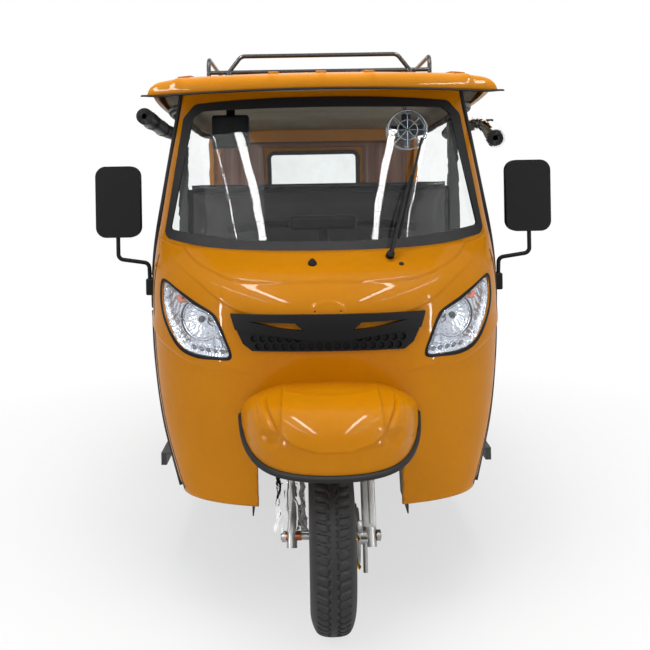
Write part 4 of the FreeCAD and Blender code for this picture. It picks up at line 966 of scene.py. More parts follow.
def buildTrims():
    s = trimSet
    lip = []
    for k in range(61):
        p = guardPoint(-1 + k / 30, 0.0) / 1000
        out = Vector((p.x, p.y + 1.20, 0)).normalized()
        lip.append(p + out * 0.002 + Vector((0, 0, -0.004)))
    path = []
    top = cowlSet["stations"][-1][0]
    for mid, y, slope, half in [row[:4] for row in cowlSet["stations"]] + s["screen"]:
        edge = cowlEdge(mid) if mid <= top else s["screenEdge"]
        path.append(Vector((half + s["outwards"], edge + s["forwards"], mid + (edge - y) * slope)) / 1000)
    right = tubeParts(catmull(path, 8), s["radius"])
    return joined([tubeParts(lip, s["radius"], 14, squash=1.15), right, mirroredParts(right)])


makePiece("edgeTrims", buildTrims(), "rubber", stands="rubber_edging")
print("trims built")


# tyres: moulded road tread of zigzag centre rib and hooked side blocks
tyreSet = {
    "radius": 272.5,
    "section": [(-43, 155), (-50, 158), (-58, 172), (-64, 192), (-65, 212), (-63, 228), (-58.5, 243), (-53, 254),
                (-46, 262.5), (-34, 268.5), (-17, 271.8), (0, 272.5)],
    "inner": [(43, 152.5), (30, 150.0), (0, 149.0), (-30, 150.0), (-43, 152.5)],
    "treadFrom": 240.0,
    "pitches": 59,
    "grooveDepth": 5.5,
    "ribHalf": 12.0,
    "zigzag": 5.0,
    "grooveHalf": 3.0,
    "blockEnd": 46.0,
    "hookHalf": 4.4,
    "hookBend": 0.30,
    "sunkFrom": 1.6,
    "wheels": {
        "tyreFront": ("front_tyre", "front_wheel", 12),
        "tyreRight": ("rear_tyre_right", "rear_wheel_right", 6),
        "tyreLeft": ("rear_tyre_left", "rear_wheel_left", 6),
    },
}


def treadDepth(across, turn):
    # depth of the tread's grooves at a distance from the middle and a turn counted in pitches
    t = tyreSet
    w = abs(across)
    if w > t["blockEnd"] + 6:
        return 0.0
    shift = turn + (0.5 if across > 0 else 0.0)
    phase = shift % 1.0
    wave = 1 - 4 * abs(phase - 0.5)
    middle = t["ribHalf"] + 3.0 + t["zigzag"] * wave
    pitch = 2 * math.pi * t["radius"] / t["pitches"]
    groove = 1 - smoothStep(abs(w - middle), t["grooveHalf"] - 0.8, t["grooveHalf"] + 0.9)
    reach = (w - middle) / (t["blockEnd"] - middle)
    if 0 < reach:
        bend = t["hookBend"] * reach * reach
        away = abs(((shift + bend) % 1.0) - 0.5) * pitch
        width = t["hookHalf"] * (0.75 + 0.5 * min(reach, 1))
        ends = 1 - smoothStep(w, t["blockEnd"] - 2.0, t["blockEnd"] + 3.0)
        groove = max(groove, (1 - smoothStep(away, width - 1.0, width + 0.9)) * ends)
    return groove * t["grooveDepth"]


def tyreLine():
    # fine half section from bead to middle, then the other half
    t = tyreSet
    pts = catmull([Vector((a, r, 0)) for a, r in t["section"]], 2)
    tread = [p for p in pts if p.x >= -53]
    side = [p for p in pts if p.x < -53]
    run = curveThrough([(p.x, p.y, 0) for p in tread])
    fine = [run(k / 26) for k in range(27)]
    return wholeLine(side + fine)


def buildTyre(x, y, z, around):
    # around is the number of sections in one pitch of the tread
    t = tyreSet
    line = tyreLine()
    count, width = t["pitches"] * around, len(line) + len(t["inner"])
    verts, sunk = [], []
    for k in range(count):
        turn = k / around
        a = 2 * math.pi * turn / t["pitches"]
        section = [(p.x, p.y - treadDepth(p.x, turn) if p.y > t["treadFrom"] else p.y) for p in line]
        for across, r in section + t["inner"]:
            verts.append(Vector((x + across / 1000, y + r / 1000 * math.cos(a), z + r / 1000 * math.sin(a))))
        deep = [p.y > t["treadFrom"] and treadDepth(p.x, (k + 0.5) / around) > t["sunkFrom"] for p in line]
        sunk += [int(d) for d in deep] + [0] * len(t["inner"])
    return (verts, bandFaces(count, width, ring=True, loop=True)), sunk


for label, (node, body, around) in tyreSet["wheels"].items():
    low, high = nodeBox(node)
    tyreParts, tyreSunk = buildTyre(*((low + high) / 2), around)
    tyreMesh = makePiece(label, tyreParts, "tyre", body, node, sharp=40).data
    # the tread's sunk faces get the darker groove rubber: painted shade in the grooves
    tyreMesh.materials.append(materials["tyreGrooveShade"])
    if len(tyreMesh.polygons) == len(tyreSunk):
        tyreMesh.polygons.foreach_set("material_index", tyreSunk)
print("tyres built")


# headlamps: stepped chrome reflector in the bowl, with dish, bulb, amber indicator and five small lamps
lampSet = {
    "rim": 14.0,
    "bezel": [(3.0, -4.0), (3.0, 1.2), (7.0, 3.0), (14.0, 1.4), (14.0, -9.0)],
    "depth": 26.0,
    "edgeDepth": 8.0,
    "glassDepth": 2.5,
    "step": 3.0,
    "dish": (391, 937),
    "dishRadius": 60.0,
    "dishDepth": 26.0,
    "indicator": (452, 997),
    "indicatorSize": (28, 13),
    "square": (338, 869),
    "small": [(415, 850), (391, 847), (368, 845), (345, 844), (322, 843)],
}
# distance from the door edge at which no seam counts, in millimetres
cowlInner = 200.0


def lampPlace(x, z, depth):
    # point that shows at x, z in the front view, this deep behind the sheet
    angle, level = cowlPlace(x, z)
    slant = max(abs(cowlNormal(angle, level).y), 0.38)
    return cowlSurface(x, z) + Vector((0, min(depth / slant, 60.0) / 1000, 0))


def chromeRelief(x, z):
    # how far the reflector lies behind the sheet, in millimetres, and which part of it that is
    s = lampSet
    depth = s["depth"]
    dx, dz = x - s["dish"][0], z - s["dish"][1]
    r = math.hypot(dx, dz) / s["dishRadius"]
    if r < 1.0:
        a = math.atan2(dz, dx)
        step = int(r * 5) % 2
        facet = 1.3 * math.sin(a * 16 + 1.5 * step) * smoothStep(r, 0.2, 0.5) + 0.9 * step
        return depth + s["dishDepth"] * (1 - r * r) + facet, "dish"
    if r < 1.09:
        return depth - 4.0, "rim"
    ix, iz = ((value - middle) / size for value, middle, size in zip((x, z), s["indicator"], s["indicatorSize"]))
    if abs(ix) < 1 and abs(iz + ix * 0.5) < 1:
        return depth + 8.0, "amber"
    if abs(x - s["square"][0]) < 15 and abs(z - s["square"][1]) < 14:
        return depth + 7.0 + 0.8 * math.sin(x * 0.9) * math.sin(z * 0.9), "plate"
    if z < 862:
        return depth - 3.0, "plate"
    return depth + 2.2 * math.sin((x + z * 0.4) * 0.42) + (6.0 if x > 470 else 0.0), "plate"


def lampChrome():
    # reflector meshes of the right lamp: chrome faces, amber ones, and the glass in front
    loop = lampLoop(lampSet["rim"], 6)
    xs, zs = [p[0] for p in loop], [p[1] for p in loop]
    step = lampSet["step"]
    lattice = []
    for j in range(int((max(zs) - min(zs)) / step)):
        for i in range(int((max(xs) - min(xs)) / step)):
            place = min(xs) + (i + 0.5 * (j % 2)) * step, min(zs) + j * step
            if pointInside(place, loop):
                lattice.append(place)
    made, kept = cutSheet(loop, [], lattice, 1.6)
    kept = [f for f in kept if pointInside(faceMiddle(made, f), loop)]
    border = nearTree(loop)
    edge = lampSet["edgeDepth"]
    verts, kinds = [], []
    for x, z in made:
        depth, kind = chromeRelief(x, z)
        verts.append(lampPlace(x, z, edge + (depth - edge) * smoothStep(border.find((x, z, 0))[2], -4.0, 20.0)))
        kinds.append(kind)
    chrome = [f for f in kept if any(kinds[i] != "amber" for i in f)]
    amber = [f for f in kept if all(kinds[i] == "amber" for i in f)]
    glass = [lampPlace(x, z, lampSet["glassDepth"]) for x, z in made]
    return compact(verts, chrome), compact(verts, amber), compact(glass, kept)


def bulbParts(x, z, depth, length, radius):
    # round-nosed bulb that points out of the lamp
    base = lampPlace(x, z, depth)
    run = Vector((-0.08, -1, 0)).normalized()
    straight, radius = length / 1000 * 0.55, radius / 1000
    nose = (0.3, 0.6, 0.9, 1.2, 1.5)
    path = [base, base + run * straight] + [base + run * (straight + radius * math.sin(a)) for a in nose]
    return tubeParts(path, [radius, radius] + [radius * math.cos(a) + 0.0002 for a in nose], 14)


def ringParts(x, z, depth, outer, tube):
    path = [lampPlace(x + outer * math.cos(a), z + outer * math.sin(a), depth) for a in circle(36)]
    return tubeParts(path, tube / 1000, 8, closed=True)


def bezelParts():
    # black rim between the outline and the reflector, with the wall that runs back to it
    verts = []
    loops = [(lampLoop(inset), lift) for inset, lift in lampSet["bezel"]]
    for loop, lift in loops:
        for x, z in loop:
            raised = lift + cowlRelief(x, z, cowlInner)
            verts.append(cowlSurface(x, z, raised) if lift > 0 else lampPlace(x, z, -lift))
    return verts, bandFaces(len(loops), len(loops[0][0]), ring=True)


def buildLamps():
    s = lampSet
    chrome, amber, glass = lampChrome()
    rings = [ringParts(*s["dish"], s["depth"] - 4, s["dishRadius"] * 1.04, 2.6)]
    rings += [ringParts(x, z, s["depth"] - 6, 9.5, 1.7) for x, z in s["small"]]
    blinker = bulbParts(s["indicator"][0] + 2, s["indicator"][1] + 2, 30, 14, 6)
    # black crescent along the dish's left edge, thickest at its middle: painted shade of the dish's rim
    dishShade = [lampPlace(s["dish"][0] + 66 * math.cos(a), s["dish"][1] + 66 * math.sin(a), s["depth"] - 6)
                for a in (math.pi * (-0.32 + 0.64 * k / 20) for k in range(21))]
    sizes = [0.001 + 0.0035 * math.sin(math.pi * k / 20) for k in range(21)]
    groups = {
        "Chrome": (joined([chrome] + rings), "chrome", None, 0),
        "Amber": (amber, "amberLens", None, 0),
        "Bulbs": (joined([bulbParts(*s["dish"], 40, 22, 11), blinker]), "bulb", None, 0),
        "Small": (joined([bulbParts(x, z, 24, 10, 6.2) for x, z in s["small"]]), "smallLamp", None, 0),
        # black bezel rim, and the crescent of painted shade beside the dish
        "BezelAndShade": (joined([tubeParts(dishShade, sizes, 8), bezelParts()]), "blackPlastic", "headlamp_housings", 0),
        "Glass": (glass, "lampLens", "headlamp_lenses", 0.0022),
    }
    for label, (parts, finish, node, wall) in groups.items():
        makePiece("lamp" + label + "Right", parts, finish, stands=node, wall=wall, sharp=50)
    for label, (parts, finish, node, wall) in groups.items():
        makePiece("lamp" + label + "Left", mirroredParts(parts), finish, wall=wall, sharp=50)


buildLamps()
print("headlamps built")


# padded seats: inflated covers with sewn channels and piping
padSet = {
    "voxel": 0.0095,
    "shrink": 0.012,
    "frames": 20,
    "pressure": 4.0,
    "channelHalf": 0.010,
    "fold": 0.0022,
    "bulge": 0.004,
    "pads": {
        "rearCushion": {"node": "rear_seat_cushion", "face": "Z", "cap": 0.022, "round": 0.030,
                        "channels": [-0.36, -0.12, 0.12, 0.36], "depth": 0.010, "lean": 0.0, "fill": 0.8},
        "rearBackrest": {"node": "rear_seat_backrest", "face": "Y", "cap": 0.020, "round": 0.028,
                         "channels": [-0.36, -0.12, 0.12, 0.36], "depth": 0.010, "lean": 10.0, "fill": 0.75},
        "driverCushion": {"node": "driver_seat_cushion", "face": "Z", "cap": 0.018, "round": 0.026,
                          "channels": [-0.15, 0.15], "depth": 0.008, "lean": 0.0, "fill": 0.8},
        "driverBackrest": {"node": "driver_seat_backrest", "face": "Y", "cap": 0.009, "round": 0.014,
                           "channels": [], "depth": 0.0, "lean": 0.0, "fill": 0.85},
    },
}


def padFrame(settings):
    # straight box of a pad: its middle, half sizes and the turn that leans it
    low, high = nodeBox(settings["node"])
    if not settings["lean"]:
        return (low + high) / 2, (high - low) / 2, Matrix.Identity(3)
    turn = Matrix.Rotation(math.radians(-settings["lean"]), 3, "X")
    return Vector((0, (low.y + high.y) / 2, (low.z + high.z) / 2)), Vector((0.6, 0.054, 0.295)), turn


def padShell(half, shrink, rounding):
    shell = bmesh.new()
    bmesh.ops.create_cube(shell, size=2.0)
    for v in shell.verts:
        v.co = Vector([c * (h - shrink) for c, h in zip(v.co, half)])
    bmesh.ops.bevel(shell, geom=shell.edges[:], offset=rounding, segments=4, profile=0.6, affect="EDGES")
    mesh = bpy.data.meshes.new("padShell")
    shell.to_mesh(mesh)
    shell.free()
    return mesh


def settled(piece):
    depsgraph = bpy.context.evaluated_depsgraph_get()
    return bpy.data.meshes.new_from_object(piece.evaluated_get(depsgraph))


def inflate(mesh, settings):
    # remeshes the cover and blows it up a little with the cloth solver
    worker = bpy.data.objects.new("padWork", mesh)
    scene.collection.objects.link(worker)
    remesh = worker.modifiers.new("remesh", "REMESH")
    remesh.mode = "VOXEL"
    remesh.voxel_size = padSet["voxel"]
    even = settled(worker)
    worker.modifiers.clear()
    worker.data = even
    start = [v.co.copy() for v in even.vertices]
    cloth = worker.modifiers.new("cloth", "CLOTH")
    cloth.settings.use_pressure = True
    cloth.settings.uniform_pressure_force = padSet["pressure"]
    cloth.settings.effector_weights.gravity = 0
    cloth.settings.mass = 0.3
    cloth.settings.quality = 4
    cloth.point_cache.frame_start = 1
    cloth.point_cache.frame_end = padSet["frames"]
    for frameNumber in range(1, padSet["frames"] + 1):
        scene.frame_set(frameNumber)
    moved = settled(worker)
    places = [v.co.copy() for v in moved.vertices]
    scene.frame_set(1)
    bpy.data.objects.remove(worker)
    return even, start, places


def padCrown(p, half, axis):
    # 0 at the edge of a pad's face and 1 well inside
    room = min(half[k] - abs(p[k]) for k in range(3) if k != axis)
    return smoothStep(room, 0.0, 0.09)


def buildPad(name, settings):
    middle, half, turn = padFrame(settings)
    mesh, start, places = inflate(padShell(half, padSet["shrink"], settings["round"]), settings)
    axis, way = (2, 1) if settings["face"] == "Z" else (1, -1)
    for v, a, b in zip(mesh.vertices, start, places):
        move = b - a
        if move.length > settings["cap"]:
            move = move.normalized() * settings["cap"]
        p = a + move
        front = p[axis] * way > 0
        crown = padCrown(p, half, axis)
        p[axis] += way * (0.010 * crown - 0.002) if front else 0.0
        for k in range(3):
            if k != axis:
                other = 1 if k == 0 else 0
                pinch = 0.006 * math.sin(math.pi * min(abs(p[other]) / half[other], 1.0))
                p[k] -= math.copysign(pinch if abs(p[k]) > half[k] * 0.9 else 0, p[k])
        if front:
            for line in settings["channels"]:
                p[axis] -= way * settings["depth"] * math.exp(-((p.x - line) / padSet["channelHalf"]) ** 2)
            p[axis] += way * padSet["fold"] * noise.noise(Vector((p.x * 6, p.y * 6, p.z * 6)))
        for k in range(3):
            reach = half[k] + (padSet["bulge"] if k == axis else 0.0)
            p[k] = min(max(p[k], -reach), reach)
        if axis == 2:
            p.z = max(p.z, -half.z)
        v.co = turn @ p + middle
    mesh.materials.clear()
    piece = bpy.data.objects.new(name, mesh)
    scene.collection.objects.link(piece)
    dressPiece(piece, "seat", "body", settings["node"])
    if settings["depth"]:
        addPiping(name + "Piping", middle, half, turn, axis, way)
    print("pad", name, len(mesh.polygons))


def addPiping(name, middle, half, turn, axis, way):
    # corded seam around the sitting face
    across, along = half[0] - 0.016, half[1 if axis == 2 else 2] - 0.016
    level = half[axis] - 0.022
    power = 0.12
    loop = []
    for a in circle(96):
        cx, cy = math.cos(a), math.sin(a)
        u = math.copysign(abs(cx) ** power, cx) * across
        w = math.copysign(abs(cy) ** power, cy) * along
        p = Vector((u, w, way * level)) if axis == 2 else Vector((u, way * level, w))
        loop.append(turn @ p + middle)
    even = []
    for a, b in zip(loop, loop[1:] + loop[:1]):
        count = max(1, int((b - a).length / 0.02))
        even += [a.lerp(b, k / count) for k in range(count)]
    makePiece(name, tubeParts(even, 0.0042, 8, closed=True), "seat")


for label, values in padSet["pads"].items():
    buildPad(label, values)
print("seats built")


# clear film left on the driver's backrest, with pulled wrinkles
filmSet = {"width": 1.10, "height": 0.50, "columns": 140, "rows": 64, "wrinkle": 0.007}


def buildFilm():
    low, high = nodeBox("driver_seat_backrest")
    s = filmSet
    rows = []
    for j in range(s["rows"]):
        row = []
        for i in range(s["columns"]):
            u, v = i / (s["columns"] - 1), j / (s["rows"] - 1)
            x = (u - 0.5) * s["width"]
            z = high.z - 0.012 - (1 - v) * s["height"]
            slant = x * 0.75 + z
            ridge = 1 - abs(noise.noise(Vector((slant * 9, (x - z) * 1.4, 2.0))))
            pulls = ridge ** 6 * smoothStep(v, 0.0, 0.3) * smoothStep(1 - v, 0.0, 0.2)
            fine = noise.noise(Vector((slant * 30, (x - z) * 4, 7.0)))
            y = low.y - 0.0055 - s["wrinkle"] * pulls - 0.0012 * fine
            row.append(Vector((x, y, z)))
        rows.append(row)
    return gridParts(rows)


seatFilm = makePiece("seatFilm", buildFilm(), "film")
print("film built")


# cab lining: headliner under the roof, ribbed panel on the rear wall, top rail of the partition
liningSet = {
    "profile": [(1.0, 0.0), (0.985, 0.42), (0.92, 0.70), (0.72, 0.89), (0.40, 0.97), (0.0, 1.0)],
    "roof": [(-0.86, 0.545), (-0.65, 0.575), (-0.10, 0.610), (0.60, 0.622), (1.15, 0.622), (1.39, 0.600)],
    "roofEdge": 1.664,
    "roofCrown": 1.757,
    "drop": 0.027,
    "ribPitch": 0.088,
    "ribDepth": 0.007,
    "window": (0.306, 1.232, 1.582),
    "wallY": 1.411,
}


def buildHeadliner():
    s = liningSet
    rows = []
    line = wholeLine(catmull([Vector((a, u, 0)) for a, u in s["profile"]], 5))
    for y, width in s["roof"]:
        crown = s["roofCrown"] - s["drop"] - (0.035 if y < -0.8 or y > 1.3 else 0.0)
        edge = s["roofEdge"] - 0.004
        rows.append([Vector((width * p.x * 0.985, y, edge + (crown - edge) * p.y)) for p in line])
    fine = []
    for a, b in zip(rows, rows[1:]):
        fine += [[p.lerp(q, k / 8) for p, q in zip(a, b)] for k in range(8)]
    fine.append(rows[-1])
    for row in fine:
        for p in row:
            p.z -= 0.0015 * (1 + math.sin(p.y * 22)) * (1 if abs(p.x) < 0.5 else 0)
    return gridParts(fine)


headliner = makePiece("headliner", buildHeadliner(), "headliner")


def buildWallPanel():
    s = liningSet
    halfX, low, high = s["window"]
    xs = sorted({round(-0.585 + k * 0.0065, 4) for k in range(181)} | {-halfX, halfX})
    zs = sorted({round(1.02 + k * 0.02, 3) for k in range(31)} | {low, high})
    verts, faces = [], []
    for z in zs:
        for x in xs:
            phase = ((x / s["ribPitch"]) % 1.0) - 0.5
            rib = smoothStep(0.30 - abs(phase), 0.0, 0.12)
            border = (smoothStep(0.575 - abs(x), 0.0, 0.01) * smoothStep(z - 1.04, 0, 0.02)
                      * smoothStep(1.61 - z, 0, 0.02))
            beside = smoothStep(max(abs(x) - halfX - 0.012, low - 0.012 - z, z - high - 0.012), 0.0, 0.014)
            verts.append(Vector((x, s["wallY"] - 0.001 - s["ribDepth"] * rib * border * beside, z)))
    n = len(xs)
    for face in bandFaces(len(zs), n):
        cx, cz = (xs[face[0] % n] + xs[face[1] % n]) / 2, (zs[face[0] // n] + zs[face[2] // n]) / 2
        if not (abs(cx) < halfX and low < cz < high):
            faces.append(face)
    return compact(verts, faces)


# the ribbed panel's brown is painted shade: the amber rear wall as it shows in the cab's shadow
makePiece("rearWallPanel", buildWallPanel(), "lining", wall=0.0012)
partitionTop = [Vector((x, -0.060, 1.345)) for x in (-0.560, 0, 0.560)]
makePiece("partitionRail", tubeParts(partitionTop, 0.011, 16), "rackTube", sharp=50)
print("lining built")


# side curtains: rolled coated cloth with straps, the right one still in clear film
rollSet = {
    "right": [(0.600, -0.850, 1.500), (0.618, -0.700, 1.540), (0.643, -0.450, 1.578), (0.6543, -0.160, 1.588),
              (0.6543, -0.042, 1.590), (0.6543, 0.120, 1.591), (0.6563, 0.400, 1.592)],
    "left": [(-0.612, -0.850, 1.596), (-0.638, -0.450, 1.594), (-0.6543, -0.160, 1.592),
             (-0.6543, -0.042, 1.592), (-0.6543, 0.120, 1.592), (-0.6563, 0.400, 1.592)],
    "radius": 0.029,
    "turns": 5.0,
    "steps": 121,
    "straps": (-0.66, -0.28, 0.24),
    "strapRadius": 0.0285,
    "strapHalf": 0.012,
    "strapGrow": 1.09,
}


def rollSheet(path, steps, shape):
    # runs a section along the path; shape gives the radius and the angle of each step
    verts = []
    for i, p in enumerate(path):
        run = (path[min(i + 1, len(path) - 1)] - path[max(i - 1, 0)]).normalized()
        side = run.cross(upward).normalized()
        lift = side.cross(run).normalized()
        for k in range(steps):
            r, a = shape(k / (steps - 1), i / len(path))
            verts.append(p + (side * math.cos(a) + lift * math.sin(a)) * r)
    return verts, bandFaces(len(path), steps)


def buildRoll(side, path, node):
    fine = catmull([Vector(p) for p in path], 12)

    def pinchAt(t):
        y = fine[min(int(t * len(fine)), len(fine) - 1)].y
        return sum(0.10 * math.exp(-((y - strap) / 0.03) ** 2) for strap in rollSet["straps"])

    def cloth(u, t):
        a = 0.9 + 0.12 * math.sin(t * 9) + 2 * math.pi * rollSet["turns"] * u
        crease = 0.035 * noise.noise(Vector((math.cos(a) * 2.2, math.sin(a) * 2.2, t * 26)))
        return rollSet["radius"] * (1.0 - 0.70 * u) * (0.975 + crease - pinchAt(t)), a

    roll = makePiece("curtainRoll" + side, rollSheet(fine, rollSet["steps"], cloth), "cloth", stands=node,
                     wall=0.0014, sharp=50)
    run = sum((b - a).length for a, b in zip(fine, fine[1:]))
    bands = [band for strap in rollSet["straps"] for band in strapParts(fine, strap)]
    makePiece("curtainStraps" + side, joined(bands), "rubber", sharp=40)
    return fine


def strapParts(line, strap):
    # band round the roll at this distance along the vehicle, and its buckle on top
    half, grow = rollSet["strapHalf"], rollSet["strapGrow"]
    near = min(range(1, len(line) - 1), key=lambda i: abs(line[i].y - strap))
    way = (line[near + 1] - line[near - 1]).normalized()
    back, front = line[near] - way * half, line[near] + way * half
    across = way.cross(upward).normalized()
    lift = across.cross(way).normalized()
    loop = [(across * math.cos(a) + lift * math.sin(a)) * rollSet["strapRadius"] for a in circle(36)]
    verts = [end + p * size for size in (1.0, grow) for end in (back, front) for p in loop]
    faces = []
    for k in range(36):
        m = (k + 1) % 36
        faces += [(72 + k, 72 + m, 108 + m, 108 + k), (m, k, 36 + k, 36 + m),
                  (k, m, 72 + m, 72 + k), (36 + m, 36 + k, 108 + k, 108 + m)]
    top = line[near] + lift * rollSet["strapRadius"]
    reach = way * 0.009 + across * 0.011
    return (verts, faces), boxParts(top - reach, top + reach + lift * 0.004)


def wrap(u, t):
    # clear film around the front of the right roll, with an overlap
    a = 2 * math.pi * 1.04 * u
    crumple = noise.noise(Vector((math.cos(a) * 3, math.sin(a) * 3, t * 34)))
    return rollSet["radius"] * (1.09 + 0.03 * u + 0.07 * crumple), a


rightLine = buildRoll("Right", rollSet["right"], "curtain_roll_right")
wrapFilm = makePiece("curtainFilm", rollSheet([p for p in rightLine if p.y < 0.05], 46, wrap), "film")
buildRoll("Left", rollSet["left"], "curtain_roll_left")
print("side curtains built")


# roof nose and sun visor: the roof's front edge rolls down to a thin visor plate
noseSet = {
    "half": 0.566,
    "edge": 1.664,
    "crown": 1.7185,
    "backY": -0.957,
    "frontY": -1.012,
    "beads": (0.0, 0.164, 0.470),
    "beadHalf": 0.017,
    "visorHalf": 0.588,
    "visorFront": -1.044,
    "visorMiddle": 1.6640,
    "visorDrop": 0.019,
    "visorDepth": 0.085,
}


def visorHeight(x):
    return noseSet["visorMiddle"] - noseSet["visorDrop"] * (abs(x) / 0.58) ** 1.8


def buildNose():
    s = noseSet
    line = wholeLine(catmull([Vector((a, u, 0)) for a, u in liningSet["profile"]], 14))
    rows = []
    for j in range(15):
        t = j / 14
        row = []
        for p in line:
            x = p.x * s["half"]
            top = Vector((x, s["backY"], s["edge"] + (s["crown"] - s["edge"]) * p.y))
            foot = Vector((x * 1.01, s["frontY"], min(visorHeight(x) + 0.001, top.z)))
            turn = Vector((x * 1.008, s["frontY"] - 0.002, top.z - 0.004))
            q = top * (1 - t) ** 2 + turn * 2 * t * (1 - t) + foot * t * t
            near = min(abs(abs(x) - b) for b in s["beads"])
            bead = (1 - smoothStep(near, s["beadHalf"] * 0.6, s["beadHalf"])) * 0.0045 * (1 - smoothStep(t, 0.3, 0.9))
            q += Vector((0, -0.5, 0.85)) * bead
            row.append(q)
        rows.append(row)
    return gridParts(rows)


makePiece("roofNose", buildNose(), "paint", wall=0.0025)


def buildVisor():
    s = noseSet
    rows = []
    for j in range(9):
        t = j / 8
        row = []
        for i in range(97):
            x = -s["visorHalf"] + 2 * s["visorHalf"] * i / 96
            curl = smoothStep(abs(x), 0.53, 0.588)
            y = s["visorFront"] + s["visorDepth"] * t + 0.012 * (abs(x) / 0.588) ** 4
            z = visorHeight(x) + 0.011 * t - 0.004 * math.exp(-(t / 0.12) ** 2) + 0.006 * curl * (1 - t)
            row.append(Vector((x, y, z)))
        rows.append(row)
    return gridParts(rows)


makePiece("visorPlate", buildVisor(), "blackPlastic", stands="sun_visor", wall=0.0035)
visorStays = []
for x in (-0.52, -0.30, 0.30, 0.52):
    foot = Vector((x, -0.962, visorHeight(x) + 0.014))
    visorStays.append(boxParts(foot + Vector((-0.016, -0.030, -0.004)), foot + Vector((0.016, 0.012, 0.0))))
makePiece("visorStays", joined(visorStays), "blackPlastic")
print("roof nose and visor built")


# small parts on the front sheet: nozzle, plugs, badge holes, grille backing, seam strips
smallSet = {
    "nozzle": (-43, 1097),
    "plug": (233, 1092),
    "badgeHoles": [(-31, 955), (40, 955)],
    "grilleBack": (246, 856, 911),
    "seamInset": 19.0,
    "seamSpan": (385, 1125),
}


def onSheet(x, z):
    # point of the sheet with its outward, sideways and upward directions
    out = cowlNormal(*cowlPlace(x, z))
    side = out.cross(upward).normalized()
    return cowlSurface(x, z, cowlRelief(x, z, cowlInner)), out, side, side.cross(out).normalized()


def domeParts(x, z, profile, stretch=1.0, sides=24):
    # turned form on the sheet's outward direction: profile pairs of radius and height in millimetres
    base, out, side, up = onSheet(x, z)
    verts = []
    for r, h in profile:
        for a in circle(sides):
            lift = max(math.sin(a), 0) ** 2 * (stretch - 1)
            verts.append(base + (side * math.cos(a) + up * math.sin(a) * (1 + lift)) * r / 1000 + out * h / 1000)
    cap = tuple(range((len(profile) - 1) * sides, len(profile) * sides))
    return verts, bandFaces(len(profile), sides, ring=True) + [cap]


nozzle = domeParts(*smallSet["nozzle"], [(14, 0), (14, 3), (12.5, 6), (9.5, 9), (8, 13), (5, 15.5), (2, 16.5)], 1.45)
plug = domeParts(*smallSet["plug"], [(8, 0), (8, 1.5), (6.5, 3.2), (3, 4.2)])
holes = [domeParts(x, z, [(4.6, 0.5), (4.6, 2.6), (3.4, 3.0)]) for x, z in smallSet["badgeHoles"]]
makePiece("hoodParts", joined([nozzle, plug] + holes), "blackPlastic", sharp=40)

half, low, high = smallSet["grilleBack"]
backing = []
for j in range(9):
    width = half - 46 * (1 - j / 8) ** 2
    backing.append([cowlSurface(width * (i / 30 - 1), low + (high - low) * j / 8, 1.2) for i in range(61)])
makePiece("grilleBacking", gridParts(backing), "blackPlastic", wall=0.0008)


def seamParts(sign):
    low, high = smallSet["seamSpan"]
    heights = [low + (high - low) * k / 47 for k in range(48)]
    return tubeParts([cowlSurface(sign * (cowlHalf(z) - smallSet["seamInset"]), z, 0.4) for z in heights], 0.0015, 6)


makePiece("edgeSeams", joined([seamParts(1), seamParts(-1)]), "rubber")
print("small front parts built")


# wiper: tapered arm with its pivot cap, yoke and blade
wiperSet = {
    "pivot": (0.200, -1.100, 1.120),
    "arm": [(0.203, -1.124, 1.133), (0.222, -1.102, 1.190), (0.252, -1.060, 1.285), (0.285, -1.012, 1.375)],
    "blade": [(0.232, -1.088, 1.178), (0.262, -1.046, 1.276), (0.296, -1.000, 1.388), (0.330, -0.954, 1.500)],
}


def buildWiper():
    s = wiperSet
    arm = catmull([Vector(p) for p in s["arm"]], 8)
    sizes = [0.0085 - 0.0045 * k / (len(arm) - 1) for k in range(len(arm))]
    parts = [tubeParts(arm, sizes, 12, squash=0.6)]
    blade = catmull([Vector(p) for p in s["blade"]], 8)
    parts.append(tubeParts(blade, 0.0042, 10))
    parts.append(tubeParts([p + Vector((0, 0.0065, -0.002)) for p in blade], 0.0028, 8))
    for k in (4, 9, 15, 20):
        claw = [blade[k] + Vector((0, -0.003, 0)), blade[k] + Vector((0.001, 0.007, -0.002))]
        parts.append(tubeParts(claw, 0.0042, 8))
    joint = arm[-1]
    meet = min(blade, key=lambda p: (p - joint).length)
    parts.append(tubeParts([joint, joint.lerp(meet, 0.5) + Vector((0, -0.004, 0.002)), meet], 0.0048, 10))
    pivot = Vector(s["pivot"])
    out = (Vector(s["arm"][0]) - pivot).normalized()
    cap = [pivot - out * 0.004, pivot + out * 0.016, pivot + out * 0.028, pivot + out * 0.031]
    parts.append(tubeParts(cap, [0.0125, 0.0135, 0.0120, 0.006], 20))
    return joined(parts)


makePiece("wiperDetailed", buildWiper(), "blackPlastic", stands="wiper", sharp=40)
print("wiper built")


# pull handle and lock of the rear lid
lidSet = {
    "grip": [(-0.075, 1.452, 0.905), (-0.068, 1.470, 0.905), (0.0, 1.476, 0.905), (0.068, 1.470, 0.905),
             (0.075, 1.452, 0.905)],
    "lock": [(0.16, 1.450, 0.905), (0.16, 1.460, 0.905), (0.16, 1.462, 0.905)],
}
lidGrip = tubeParts(catmull(lidSet["grip"], 8), 0.0065)
lidLock = tubeParts([Vector(p) for p in lidSet["lock"]], [0.013, 0.013, 0.009], 20)
makePiece("lidHandle", joined([lidGrip, lidLock]), "blackPlastic", "engine_lid", sharp=40)
print("lid handle built")


